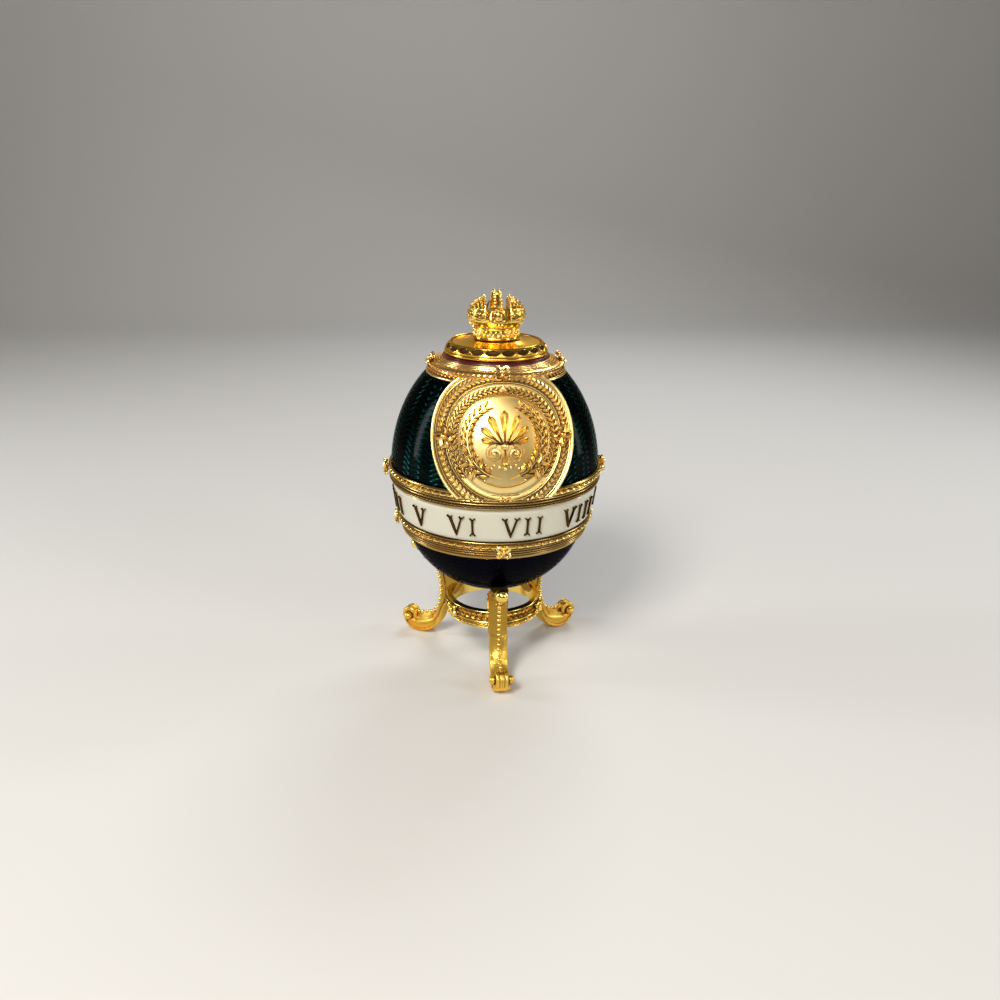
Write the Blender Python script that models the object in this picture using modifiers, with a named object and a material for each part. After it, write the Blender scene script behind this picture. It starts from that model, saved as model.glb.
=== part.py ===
"""Enamelled egg clock on a tripod stand, about 105 mm tall.

The egg is turned about the vertical axis through the origin, which lies on the ground.
From the bottom up it is a blue enamelled cup, a gilt band, a white dial ring, a second gilt
band and a green enamelled dome. A round gilt plaque hugs the front of the dome, a gilt collar
closes it, and a lid with a crown lifts off the collar. The front is -Y and up is +Z.
"""
import math

import bmesh
import bpy
from mathutils import Matrix, Vector

MM = 0.001

# ---- driving dimensions -------------------------------------------------------------------
GAP = 0.3 * MM                  # clearance between neighbouring pieces
WALL = 1.8 * MM                 # thickness of the enamelled shells
SEGMENTS = 32                   # steps of every turned piece of the egg
SMALL_SEGMENTS = 28             # steps of the collar, the lid and the stand's ring

# blue cup: the lower half of the egg
CUP_RADIUS = 25.6 * MM
CUP_HEIGHT = 24.7 * MM
CUP_MIDDLE = 45.8 * MM          # height at which the cup's curve would be widest
CUP_POWER = 0.524
CUP_TOP = 38.9 * MM

# lower band, dial ring and upper band, stacked on the cup
LOWER_BAND_BOTTOM = 39.3 * MM
DIAL_BOTTOM = 44.6 * MM
DIAL_TOP = 53.7 * MM
UPPER_BAND_TOP = 58.6 * MM
DIAL_LOW_RADIUS = 27.0 * MM
DIAL_HIGH_RADIUS = 28.3 * MM
LOWER_BAND_RADIUS = 27.3 * MM   # at its top
LOWER_BAND_LOW_RADIUS = 25.6 * MM
LOWER_BAND_WALL = 2.0 * MM
UPPER_BAND_RADIUS = 29.4 * MM   # at its top
UPPER_BAND_LOW_RADIUS = 29.0 * MM
UPPER_BAND_WALL = 2.4 * MM
BAND_RIDGES = 3                 # rounded ridges down the outside of a band
BAND_RIDGE_DEPTH = 0.5 * MM

# green dome: the upper half of the egg
DOME_RADIUS = 28.6 * MM
DOME_HEIGHT = 34.6 * MM
DOME_MIDDLE = 56.6 * MM
DOME_POWER = 0.466
DOME_BOTTOM = 58.9 * MM
DOME_TOP = 83.0 * MM

# plaque on the front of the dome, measured along the dome's surface
PLAQUE_RADIUS = 19.6 * MM
PLAQUE_CENTRE = 71.3 * MM       # height of its middle
PLAQUE_BOTTOM = 57.6 * MM       # where the upper band trims it
PLAQUE_TOP = 84.7 * MM          # where the collar's upper tier trims it
PLAQUE_RING = 11.6 * MM         # radius of the thin ring round its field

# collar and lid
COLLAR_RADIUS = 18.8 * MM
COLLAR_BOTTOM = 83.3 * MM
COLLAR_TOP = 87.6 * MM
COLLAR_MOUTH = 11.6 * MM        # radius of the opening
LID_RADIUS = 13.8 * MM
LID_BOTTOM = 87.9 * MM
LID_TOP = 91.3 * MM
LID_PLUG_RADIUS = 11.2 * MM
LID_PLUG_DEPTH = 2.2 * MM

# crown
CROWN_BOTTOM = 92.2 * MM
CIRCLET_RADIUS = 6.0 * MM
CIRCLET_HEIGHT = 3.0 * MM
CROWN_RADIUS = 7.3 * MM
CROWN_TOP = 104.8 * MM

# tripod stand
LEG_COUNT = 3
LEG_WIDTH = 5.2 * MM
RING_RADIUS = 13.7 * MM
RING_THICKNESS = 1.8 * MM
RING_BOTTOM = 12.6 * MM
RING_TOP = 17.9 * MM
LEG_BALL_RADIUS = 2.1 * MM
LEG_BALL_OUT = 24.0 * MM
LEG_BALL_UP = 28.2 * MM
FOOT_ROLL_RADIUS = 2.4 * MM
FOOT_ROLL_OUT = 27.0 * MM
FOOT_ROLL_UP = 5.2 * MM

# crossed-ribbon bows on the bands and the collar
BOW_SPAN = 5.0 * MM
BOW_RIBBON = 1.7 * MM
BOW_DEPTH = 1.8 * MM
BOW_COUNT = 4
BOW_REACH = 31.3 * MM           # the bows of the upper band are the widest part of all
BOW_HEIGHT = 56.8 * MM
LOW_BOW_REACH = 28.9 * MM
LOW_BOW_HEIGHT = 42.0 * MM
COLLAR_BOW_REACH = 18.4 * MM
COLLAR_BOW_HEIGHT = 87.1 * MM
COLLAR_BOW_SCALE = 0.78


# ---- materials ----------------------------------------------------------------------------
def finish(name, colour, roughness, metallic):
    """A plain Principled material."""
    made = bpy.data.materials.new(name)
    made.use_nodes = True
    shader = made.node_tree.nodes["Principled BSDF"]
    shader.inputs["Base Color"].default_value = (*colour, 1.0)
    shader.inputs["Roughness"].default_value = roughness
    shader.inputs["Metallic"].default_value = metallic
    made.diffuse_color = (*colour, 1.0)
    return made


# ---- objects and collections --------------------------------------------------------------
def clear_scene():
    """Remove whatever is in the file, so that the script gives the same result each time."""
    for old in list(bpy.data.objects):
        bpy.data.objects.remove(old, do_unlink=True)


def collection(name):
    """A new collection under the scene."""
    made = bpy.data.collections.new(name)
    bpy.context.scene.collection.children.link(made)
    return made


def add_object(name, data, home, material=None):
    """Put a mesh or a curve in a collection as one object."""
    made = bpy.data.objects.new(name, data)
    if material is not None:
        data.materials.append(material)
    home.objects.link(made)
    return made


def as_tool(made):
    """Mark an object as a guide that the model itself doesn't show."""
    made.hide_render = True
    made.display_type = "WIRE"
    return made


def frozen(made, home):
    """A plain mesh object in place of one whose shape comes from modifiers or a curve."""
    bpy.context.view_layer.update()
    graph = bpy.context.evaluated_depsgraph_get()
    mesh = bpy.data.meshes.new_from_object(made.evaluated_get(graph))
    mesh.transform(made.matrix_world)
    name = made.name
    bpy.data.objects.remove(made, do_unlink=True)
    work = bmesh.new()
    work.from_mesh(mesh)
    bmesh.ops.remove_doubles(work, verts=work.verts, dist=0.002 * MM)
    work.to_mesh(mesh)
    work.free()
    return add_object(name, mesh, home)


def combine(body, tool, operation):
    """Join a tool to a body or cut it away, with an exact Boolean that stays on the body."""
    modifier = body.modifiers.new(f"{operation.lower()}_{tool.name}", "BOOLEAN")
    modifier.object = tool
    modifier.operation = operation
    modifier.solver = "EXACT"
    as_tool(tool)


def smooth_faces(made, angle=35.0):
    """Round surfaces shade smooth, and edges sharper than the angle stay crisp."""
    made.data.shade_smooth()
    made.data.set_sharp_from_angle(angle=math.radians(angle))


# ---- outlines -----------------------------------------------------------------------------
def smooth_path(points, steps):
    """Points on a smooth curve through the given ones, without the last."""
    path = []
    count = len(points)
    for index in range(count - 1):
        before = Vector(points[max(index - 1, 0)])
        start = Vector(points[index])
        end = Vector(points[index + 1])
        after = Vector(points[min(index + 2, count - 1)])
        for step in range(steps):
            t = step / steps
            point = 0.5 * (
                2.0 * start
                + (end - before) * t
                + (2.0 * before - 5.0 * start + 4.0 * end - after) * t ** 2
                + (3.0 * start - before - 3.0 * end + after) * t ** 3
            )
            path.append((point.x, point.y))
    return path


def arc(centre, radius, start, end, steps):
    """Points of a round arc from one angle to another, in degrees, both ends included."""
    points = []
    for step in range(steps + 1):
        angle = math.radians(start + (end - start) * step / steps)
        points.append((centre[0] + radius * math.cos(angle), centre[1] + radius * math.sin(angle)))
    return points


def turned(name, profile, home, material=None, closed=True, segments=SEGMENTS):
    """A solid turned about Z from (radius, height) points that run down the outer side."""
    mesh = bpy.data.meshes.new(name)
    edges = [(index, index + 1) for index in range(len(profile) - 1)]
    if closed:
        edges.append((len(profile) - 1, 0))
    mesh.from_pydata([(radius, 0.0, height) for radius, height in profile], edges, [])
    made = add_object(name, mesh, home, material)
    screw = made.modifiers.new("turn", "SCREW")
    screw.axis = "Z"
    screw.steps = segments
    screw.render_steps = segments
    screw.use_merge_vertices = True
    screw.merge_threshold = 0.00001
    return made


# ---- the egg's curves ---------------------------------------------------------------------
def cup_radius(height):
    """Outer radius of the blue cup."""
    rise = (CUP_MIDDLE - height) / CUP_HEIGHT
    return CUP_RADIUS * max(1.0 - rise ** 2, 0.0) ** CUP_POWER


def cup_height(radius):
    """Height of the blue cup's outer surface at a radius."""
    rise = math.sqrt(1.0 - (radius / CUP_RADIUS) ** (1.0 / CUP_POWER))
    return CUP_MIDDLE - CUP_HEIGHT * rise


def dome_radius(height):
    """Outer radius of the green dome."""
    rise = (height - DOME_MIDDLE) / DOME_HEIGHT
    return DOME_RADIUS * max(1.0 - rise ** 2, 0.0) ** DOME_POWER


def dome_height(arc_length):
    """Height of the point that lies an arc length above the plaque's middle, on the dome."""
    step = 0.25 * MM
    direction = 1.0 if arc_length >= 0.0 else -1.0
    height = PLAQUE_CENTRE
    left = abs(arc_length)
    while left > 0.0:
        below = dome_radius(height)
        above = dome_radius(height + direction * step)
        length = math.hypot(step, above - below)
        part = min(left / length, 1.0)
        height += direction * step * part
        left -= length
    return height


# ---- pieces of the egg --------------------------------------------------------------------
def lower_shell(home, material):
    """The blue cup, hollow and open at the top."""
    outer_steps = 8
    inner_steps = 5
    bottom = CUP_MIDDLE - CUP_HEIGHT
    outer = []
    inner = []
    top_angle = math.asin((CUP_MIDDLE - CUP_TOP) / CUP_HEIGHT)
    for step in range(outer_steps):
        angle = top_angle + (math.pi / 2.0 - top_angle) * step / outer_steps
        height = CUP_MIDDLE - CUP_HEIGHT * math.sin(angle)
        outer.append((cup_radius(height), height))
    outer.append((0.0, bottom))
    for step in range(inner_steps):
        angle = top_angle + (math.pi / 2.0 - top_angle) * step / inner_steps
        height = CUP_MIDDLE - CUP_HEIGHT * math.sin(angle)
        shrink = 1.0 - WALL / CUP_RADIUS
        lift = WALL * math.sin(angle)
        inner.append((cup_radius(height) * shrink, min(height + lift, CUP_TOP)))
    inner[0] = (inner[0][0], CUP_TOP)
    inner.append((0.0, bottom + WALL))
    return turned("lower_shell", inner[::-1] + outer, home, material, closed=False)


def band_profile(bottom, top, low_radius, high_radius, ridges, depth, inside):
    """Outline of a ring with rounded ridges down its outer side and a plain inner side."""
    points = []
    height = (top - bottom) / ridges
    for ridge in range(ridges):
        upper = top - ridge * height
        share = (ridge + 0.5) / ridges
        crest = high_radius + (low_radius - high_radius) * share
        points.append((crest - depth, upper))
        points.append((crest, upper - 0.3 * height))
        points.append((crest, upper - 0.7 * height))
    points.append((low_radius - depth, bottom))
    points.append((low_radius - inside, bottom))
    points.append((high_radius - inside, top))
    return points


def dial_ring(home, material):
    """The white ring that carries the hours. It leans in towards its lower edge."""
    edge = 0.25 * MM
    profile = [
        (DIAL_HIGH_RADIUS - edge, DIAL_TOP),
        (DIAL_HIGH_RADIUS, DIAL_TOP - edge),
        (DIAL_LOW_RADIUS, DIAL_BOTTOM + edge),
        (DIAL_LOW_RADIUS - edge, DIAL_BOTTOM),
        (DIAL_LOW_RADIUS - WALL, DIAL_BOTTOM),
        (DIAL_HIGH_RADIUS - WALL, DIAL_TOP),
    ]
    return turned("dial_ring", profile, home, material)


def upper_shell(home, material):
    """The green dome, open below and at the top, where the collar sits."""
    steps = 8
    outer = []
    inner = []
    for step in range(steps + 1):
        height = DOME_TOP + (DOME_BOTTOM - DOME_TOP) * (step / steps) ** 1.3
        outer.append((dome_radius(height), height))
    for step in range(0, steps + 1, 2):
        height = DOME_BOTTOM + (DOME_TOP - DOME_BOTTOM) * (step / steps) ** 0.8
        inner.append((dome_radius(height + 0.4 * WALL) - WALL, height))
    return turned("upper_shell", outer + inner, home, material)


def plaque_body(name, margin, home, tools, material=None):
    """The plaque's solid, or with a margin the space it needs, bent round the dome.

    The plate is a disc on the dome's surface: a radius and an angle give an arc length round
    the dome and one up it. Level cuts trim it where the upper band and the collar meet it.
    """
    around = 26
    rim = PLAQUE_RADIUS + margin
    inner_face = GAP - 4.0 * margin
    clear = 5.0 * margin
    rings = [0.6 * PLAQUE_RING, PLAQUE_RING, 0.79 * rim, 0.9 * rim, rim]
    heights = [0.7 * MM, 1.0 * MM, 0.8 * MM, 1.3 * MM, 1.3 * MM]
    work = bmesh.new()

    def point(radius, angle, proud):
        height = dome_height(radius * math.cos(angle))
        surface = dome_radius(height)
        turn = radius * math.sin(angle) / surface
        reach = surface + proud
        return (reach * math.sin(turn), -reach * math.cos(turn), height)

    def layer(thick):
        centre = work.verts.new(point(0.0, 0.0, heights[0] + clear if thick else inner_face))
        loops = []
        for radius, proud in zip(rings, heights):
            face = proud + clear if thick else inner_face
            loop = []
            for index in range(around):
                angle = 2.0 * math.pi * index / around
                loop.append(work.verts.new(point(radius, angle, face)))
            loops.append(loop)
        return centre, loops

    front_centre, front = layer(True)
    back_centre, back = layer(False)
    for index in range(around):
        following = (index + 1) % around
        work.faces.new((front_centre, front[0][following], front[0][index]))
        work.faces.new((back_centre, back[0][index], back[0][following]))
        for inside, outside in zip(front, front[1:]):
            work.faces.new((inside[index], inside[following], outside[following], outside[index]))
        for inside, outside in zip(back, back[1:]):
            work.faces.new((inside[following], inside[index], outside[index], outside[following]))
        edge = (front[-1][index], front[-1][following], back[-1][following], back[-1][index])
        work.faces.new(edge)
    bmesh.ops.triangulate(work, faces=work.faces)
    bmesh.ops.recalc_face_normals(work, faces=work.faces)
    mesh = bpy.data.meshes.new(name)
    work.to_mesh(mesh)
    work.free()
    made = add_object(name, mesh, home, material)
    size = 80.0 * MM
    for place, limit in ((-1.0, PLAQUE_BOTTOM - margin), (1.0, PLAQUE_TOP + margin)):
        trim = box(f"{name}_trim", (size, size, size), tools)
        trim.matrix_world = Matrix.Translation((0.0, 0.0, limit + place * size / 2.0))
        combine(made, trim, "DIFFERENCE")
    return made


def collar(home, material):
    """The stepped collar that closes the dome and carries the lid."""
    step_radius = COLLAR_RADIUS - 1.1 * MM
    step_height = COLLAR_BOTTOM + 2.0 * MM
    neck_radius = LID_RADIUS + 0.9 * MM
    profile = [
        (COLLAR_MOUTH, COLLAR_TOP),
        (neck_radius - 0.4 * MM, COLLAR_TOP),
        (neck_radius, COLLAR_TOP - 0.3 * MM),
        (step_radius - 0.5 * MM, step_height + 0.9 * MM),
        (step_radius + 0.2 * MM, step_height + 0.5 * MM),
        (step_radius, step_height),
        (COLLAR_RADIUS, COLLAR_BOTTOM + 0.9 * MM),
        (COLLAR_RADIUS, COLLAR_BOTTOM),
        (COLLAR_RADIUS - 2.4 * MM, COLLAR_BOTTOM),
        (COLLAR_MOUTH + 1.8 * MM, COLLAR_TOP - 2.2 * MM),
        (COLLAR_MOUTH, COLLAR_TOP - 1.6 * MM),
    ]
    return turned("collar", profile, home, material, segments=SMALL_SEGMENTS)


def lid(home, material):
    """The round lid. A ring below it drops into the collar's mouth and keeps it in place."""
    plug_wall = 1.5 * MM
    skin = 1.8 * MM
    foot = CIRCLET_RADIUS + 1.2 * MM
    profile = [
        (0.0, CROWN_BOTTOM - GAP),
        (foot - 0.8 * MM, CROWN_BOTTOM - GAP),
        (foot + 1.4 * MM, LID_TOP),
        (LID_RADIUS - 2.0 * MM, LID_TOP - 0.1 * MM),
        (LID_RADIUS - 1.3 * MM, LID_TOP + 0.1 * MM),
        (LID_RADIUS - 1.0 * MM, LID_TOP - 0.4 * MM),
        (LID_RADIUS - 0.5 * MM, LID_TOP - 1.7 * MM),
        (LID_RADIUS, LID_BOTTOM + 1.1 * MM),
        (LID_RADIUS, LID_BOTTOM + 0.6 * MM),
        (LID_RADIUS - 0.5 * MM, LID_BOTTOM),
        (LID_PLUG_RADIUS, LID_BOTTOM),
        (LID_PLUG_RADIUS, LID_BOTTOM - LID_PLUG_DEPTH),
        (LID_PLUG_RADIUS - plug_wall, LID_BOTTOM - LID_PLUG_DEPTH),
        (LID_PLUG_RADIUS - plug_wall, LID_TOP - skin),
        (0.0, LID_TOP - skin + 0.4 * MM),
    ]
    return turned("lid", profile, home, material, closed=False, segments=SMALL_SEGMENTS)


# ---- bows ---------------------------------------------------------------------------------
def box(name, size, home):
    """A box whose middle is the origin."""
    mesh = bpy.data.meshes.new(name)
    work = bmesh.new()
    bmesh.ops.create_cube(work, size=1.0)
    bmesh.ops.scale(work, vec=size, verts=work.verts)
    work.to_mesh(mesh)
    work.free()
    return add_object(name, mesh, home)


def ball(name, radius, centre, home, segments=12, stretch=(1.0, 1.0, 1.0)):
    """A ball, or an egg-shaped lump, at a centre."""
    mesh = bpy.data.meshes.new(name)
    work = bmesh.new()
    rings = max(segments * 2 // 3, 4)
    bmesh.ops.create_uvsphere(work, u_segments=segments, v_segments=rings, radius=radius)
    bmesh.ops.scale(work, vec=stretch, verts=work.verts)
    bmesh.ops.translate(work, vec=centre, verts=work.verts)
    work.to_mesh(mesh)
    work.free()
    return add_object(name, mesh, home)


def bow_mesh(tools):
    """Two crossed ribbons with a knot. The knot's front lies at the origin, facing -Y."""
    slope = math.radians(42.0)
    knot_radius = 0.62 * BOW_RIBBON
    ribbon_centre = knot_radius + 0.3 * BOW_DEPTH
    size = (BOW_SPAN, BOW_DEPTH, BOW_RIBBON)
    first = box("ribbon_a", size, tools)
    first.matrix_world = Matrix.Translation((0, ribbon_centre, 0)) @ Matrix.Rotation(slope, 4, "Y")
    second = box("ribbon_b", size, tools)
    nudge = 0.07 * MM
    shift = Matrix.Translation((0, ribbon_centre + nudge, 0))
    second.matrix_world = shift @ Matrix.Rotation(-slope, 4, "Y")
    combine(first, second, "UNION")
    knot = box("knot", (1.5 * knot_radius, 1.6 * knot_radius, 1.5 * knot_radius), tools)
    knot.matrix_world = Matrix.Translation((0.0, 0.8 * knot_radius, 0.0))
    combine(first, knot, "UNION")
    made = frozen(first, tools)
    mesh = made.data
    bpy.data.objects.remove(made)
    return mesh


def add_bows(body, mesh, tools, reach, height, scale=1.0):
    """Join a bow to a turned piece at each quarter, its front at a reach from the axis."""
    for index in range(BOW_COUNT):
        made = add_object(f"{body.name}_bow_{index}", mesh, tools)
        turn = Matrix.Rotation(2.0 * math.pi * index / BOW_COUNT, 4, "Z")
        place = Matrix.Translation((0.0, -reach, height))
        made.matrix_world = turn @ place @ Matrix.Scale(scale, 4)
        combine(body, made, "UNION")


# ---- crown --------------------------------------------------------------------------------
def crown(home, tools, material):
    """A circlet, a flared cup, a lobe to each side and a beaded arch from front to back."""
    lobe_centre = 4.5 * MM
    lobe_size = (3.0 * MM, 5.4 * MM, 4.6 * MM)
    lobe_height = CROWN_TOP - 5.7 * MM
    arch_width = 2.7 * MM
    arch_thickness = 1.3 * MM
    arch_reach = CROWN_RADIUS - 0.5 * MM
    arch_foot = CROWN_BOTTOM + 5.2 * MM
    jewel_radius = 1.9 * MM
    top = CROWN_BOTTOM + CIRCLET_HEIGHT
    profile = [
        (0.0, top + 3.4 * MM),
        (CROWN_RADIUS - 1.8 * MM, top + 3.4 * MM),
        (CROWN_RADIUS - 0.2 * MM, top + 2.8 * MM),
        (CIRCLET_RADIUS + 0.4 * MM, top + 1.2 * MM),
        (CIRCLET_RADIUS - 0.3 * MM, top + 0.1 * MM),
        (CIRCLET_RADIUS, top - 0.3 * MM),
        (CIRCLET_RADIUS, CROWN_BOTTOM + 0.4 * MM),
        (CIRCLET_RADIUS - 0.3 * MM, CROWN_BOTTOM),
        (0.0, CROWN_BOTTOM),
    ]
    body = turned("crown", profile, home, material, closed=False, segments=20)
    for side, sign in (("left", -1.0), ("right", 1.0)):
        centre = (sign * lobe_centre, 0.0, lobe_height)
        lobe = ball(f"crown_lobe_{side}", 1.0, centre, tools, 12, lobe_size)
        combine(body, lobe, "UNION")
    outer = arc((0.0, 0.0), 1.0, 0.0, 180.0, 14)
    outline = [(x * arch_reach, arch_foot + y * (CROWN_TOP - arch_foot)) for x, y in outer]
    inner_reach = arch_reach - arch_thickness
    inner_rise = CROWN_TOP - arch_foot - arch_thickness
    inner = [(x * inner_reach, arch_foot + y * inner_rise) for x, y in outer]
    arch = flat_solid("crown_arch", outline + inner[::-1], arch_width, tools)
    arch.matrix_world = Matrix.Rotation(math.radians(90.0), 4, "Z")
    combine(body, frozen(arch, tools), "UNION")
    for side, sign in (("front", -1.0), ("back", 1.0)):
        centre = (0.0, sign * (CROWN_RADIUS - 1.1 * MM), CROWN_BOTTOM + 6.2 * MM)
        jewel = ball(f"crown_jewel_{side}", jewel_radius, centre, tools, 8, (1.0, 0.6, 1.15))
        combine(body, jewel, "UNION")
    return body


# ---- stand --------------------------------------------------------------------------------
def flat_solid(name, outline, width, home):
    """A flat outline in X and Z, given its width along Y."""
    curve = bpy.data.curves.new(name, "CURVE")
    curve.dimensions = "2D"
    curve.fill_mode = "BOTH"
    curve.extrude = width / 2.0
    spline = curve.splines.new("POLY")
    spline.points.add(len(outline) - 1)
    for point, (across, up) in zip(spline.points, outline):
        point.co = (across, up, 0.0, 1.0)
    spline.use_cyclic_u = True
    made = add_object(name, curve, home)
    made.matrix_world = Matrix.Rotation(math.radians(90.0), 4, "X")
    return frozen(made, home)


def leg_outline():
    """Outline of a leg in its own plane, as (distance from the axis, height).

    The top follows the cup. The outer side swings in from the ball to a waist and out along
    the foot, which rolls up at its tip. The inner side carries the ring.
    """
    ring_inside = RING_RADIUS - RING_THICKNESS
    saddle_in = 8.4 * MM
    saddle_out = 16.6 * MM
    saddle_steps = 4
    foot_flat_in = 22.6 * MM
    foot_flat_out = 25.8 * MM
    saddle = []
    for step in range(saddle_steps + 1):
        across = saddle_in + (saddle_out - saddle_in) * step / saddle_steps
        saddle.append((across, cup_height(across) - 1.15 * GAP))
    arm = smooth_path([
        saddle[-1],
        (LEG_BALL_OUT - 4.4 * MM, LEG_BALL_UP - 0.1 * MM),
        (LEG_BALL_OUT - 0.6 * MM, LEG_BALL_UP + 0.9 * MM),
    ], 2)
    outside = smooth_path([
        (LEG_BALL_OUT - 0.4 * MM, LEG_BALL_UP - 0.9 * MM),
        (20.6 * MM, 25.8 * MM),
        (18.4 * MM, 22.6 * MM),
        (17.1 * MM, 16.4 * MM),
        (17.5 * MM, 10.4 * MM),
        (19.3 * MM, 7.0 * MM),
        (22.6 * MM, 5.6 * MM),
        (FOOT_ROLL_OUT - FOOT_ROLL_RADIUS, FOOT_ROLL_UP + 0.6 * MM),
    ], 2)
    roll = arc((FOOT_ROLL_OUT, FOOT_ROLL_UP), FOOT_ROLL_RADIUS, 158.0, -18.0, 8)
    sole = smooth_path([
        (FOOT_ROLL_OUT + 1.9 * MM, 2.2 * MM),
        (foot_flat_out + 0.9 * MM, 0.35 * MM),
        (foot_flat_out, 0.0),
    ], 2)
    heel = smooth_path([
        (foot_flat_in, 0.0),
        (19.8 * MM, 1.5 * MM),
        (17.2 * MM, 4.4 * MM),
        (15.6 * MM, 9.0 * MM),
        (RING_RADIUS, RING_BOTTOM + 0.4 * MM),
    ], 2)
    inside = smooth_path([
        (ring_inside + 0.1 * MM, RING_BOTTOM + 1.0 * MM),
        (ring_inside - 0.2 * MM, RING_BOTTOM + 2.6 * MM),
        (10.7 * MM, 17.6 * MM),
        (8.8 * MM, 19.6 * MM),
        (saddle_in - 0.2 * MM, 20.8 * MM),
    ], 2)
    return (saddle[:-1] + arm + outside + roll + sole + [(foot_flat_out, 0.0)]
            + heel + inside + [(saddle_in - 0.2 * MM, 20.8 * MM)])


def leg_width_at(across, up):
    """Share of the leg's width: the arm narrows towards its ball."""
    start = 18.5 * MM
    narrowing = 0.34
    if up < 0.5 * LEG_BALL_UP or across < start:
        return 1.0
    return 1.0 - narrowing * min((across - start) / (LEG_BALL_OUT - start), 1.0)


def tripod_stand(home, tools, material):
    """The cast stand: a ridged ring and three scrolled legs with a ball at the top."""
    ridge = 0.45 * MM
    ring_profile = band_profile(RING_BOTTOM, RING_TOP, RING_RADIUS, RING_RADIUS,
                                2, ridge, RING_THICKNESS)
    body = turned("tripod_stand", ring_profile, home, material, segments=SMALL_SEGMENTS)
    for index in range(LEG_COUNT):
        turn = Matrix.Rotation(2.0 * math.pi * index / LEG_COUNT - math.pi / 2.0, 4, "Z")
        leg = flat_solid(f"leg_{index}", leg_outline(), LEG_WIDTH, tools)
        for vertex in leg.data.vertices:
            vertex.co.y *= leg_width_at(vertex.co.x, vertex.co.z)
        leg.data.transform(turn)
        combine(body, leg, "UNION")
        centre = (LEG_BALL_OUT, 0.0, LEG_BALL_UP)
        top_ball = ball(f"leg_ball_{index}", LEG_BALL_RADIUS, centre, tools, 10)
        top_ball.data.transform(turn)
        combine(body, top_ball, "UNION")
        eye = turned(f"foot_eye_{index}", foot_eye_profile(), tools, closed=False, segments=8)
        place = Matrix.Translation((FOOT_ROLL_OUT, 0.0, FOOT_ROLL_UP))
        eye.matrix_world = turn @ place @ Matrix.Rotation(math.radians(90.0), 4, "X")
        combine(body, frozen(eye, tools), "UNION")
    return body


def foot_eye_profile():
    """Outline of the pin through a foot's roll, with a round eye at each end."""
    eye_radius = 1.35 * MM
    eye_centre = 2.5 * MM
    neck = 0.9 * MM
    upper = arc((0.0, eye_centre), eye_radius, 90.0, -45.0, 3)
    lower = arc((0.0, -eye_centre), eye_radius, 45.0, -90.0, 3)
    upper[0] = (0.0, upper[0][1])
    lower[-1] = (0.0, lower[-1][1])
    return upper + [(neck, 0.0)] + lower


# ---- the whole object ---------------------------------------------------------------------
def build():
    """Model every piece and shade it."""
    clear_scene()
    home = collection("enamel_egg_clock")
    tools = collection("cutters")
    gilt = finish("gilt_metal", (0.80, 0.58, 0.25), 0.30, 1.0)
    pale_gilt = finish("pale_gilt_metal", (0.86, 0.70, 0.45), 0.34, 1.0)
    blue = finish("blue_enamel", (0.010, 0.014, 0.05), 0.12, 0.0)
    green = finish("green_enamel", (0.006, 0.07, 0.06), 0.12, 0.0)
    white = finish("white_enamel", (0.86, 0.83, 0.74), 0.22, 0.0)

    bow = bow_mesh(tools)
    stand = tripod_stand(home, tools, gilt)
    cup = lower_shell(home, blue)

    profile = band_profile(LOWER_BAND_BOTTOM, DIAL_BOTTOM - GAP, LOWER_BAND_LOW_RADIUS,
                           LOWER_BAND_RADIUS, BAND_RIDGES, BAND_RIDGE_DEPTH, LOWER_BAND_WALL)
    low_band = turned("lower_band", profile, home, gilt)
    add_bows(low_band, bow, tools, LOW_BOW_REACH, LOW_BOW_HEIGHT)

    dial = dial_ring(home, white)

    profile = band_profile(DIAL_TOP + GAP, UPPER_BAND_TOP, UPPER_BAND_LOW_RADIUS,
                           UPPER_BAND_RADIUS, BAND_RIDGES, BAND_RIDGE_DEPTH, UPPER_BAND_WALL)
    high_band = turned("upper_band", profile, home, pale_gilt)
    notch = frozen(plaque_body("plaque_notch_band", GAP, tools, tools), tools)
    combine(high_band, notch, "DIFFERENCE")
    add_bows(high_band, bow, tools, BOW_REACH, BOW_HEIGHT)

    dome = upper_shell(home, green)

    plaque = plaque_body("medallion", 0.0, home, tools, pale_gilt)
    room_deep = 6.0 * MM
    room = box("bow_room", (BOW_SPAN + 2.0 * GAP, room_deep, BOW_SPAN + 2.0 * GAP), tools)
    room.matrix_world = Matrix.Translation((0.0, -BOW_REACH, BOW_HEIGHT))
    combine(plaque, room, "DIFFERENCE")

    ring = collar(home, pale_gilt)
    notch = frozen(plaque_body("plaque_notch_collar", GAP, tools, tools), tools)
    combine(ring, notch, "DIFFERENCE")
    add_bows(ring, bow, tools, COLLAR_BOW_REACH, COLLAR_BOW_HEIGHT, COLLAR_BOW_SCALE)

    cover = lid(home, gilt)
    top = crown(home, tools, gilt)

    for made in (stand, cup, low_band, dial, high_band, dome, plaque, ring, cover, top):
        smooth_faces(made)


build()
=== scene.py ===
# %% [markdown]
# # An enamelled egg clock on a gilt tripod
#
# The object is a keepsake egg about 105 mm tall. A blue enamelled cup, a white ring with the
# hours and a green enamelled dome are held together by gilt bands, and a gilt plaque hugs the
# front. On top sit a collar, a lid that lifts off and a small crown. Below is a cast tripod.
#
# The engineering model is loaded first and stays where it is. Each of its plain pieces is then
# hidden behind a finely modelled one of the same size. All shapes here are worked out in
# millimetres and become metres only when a piece is finished.

import math

import bmesh
import bpy
import numpy as np
from mathutils import Matrix, Vector


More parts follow.
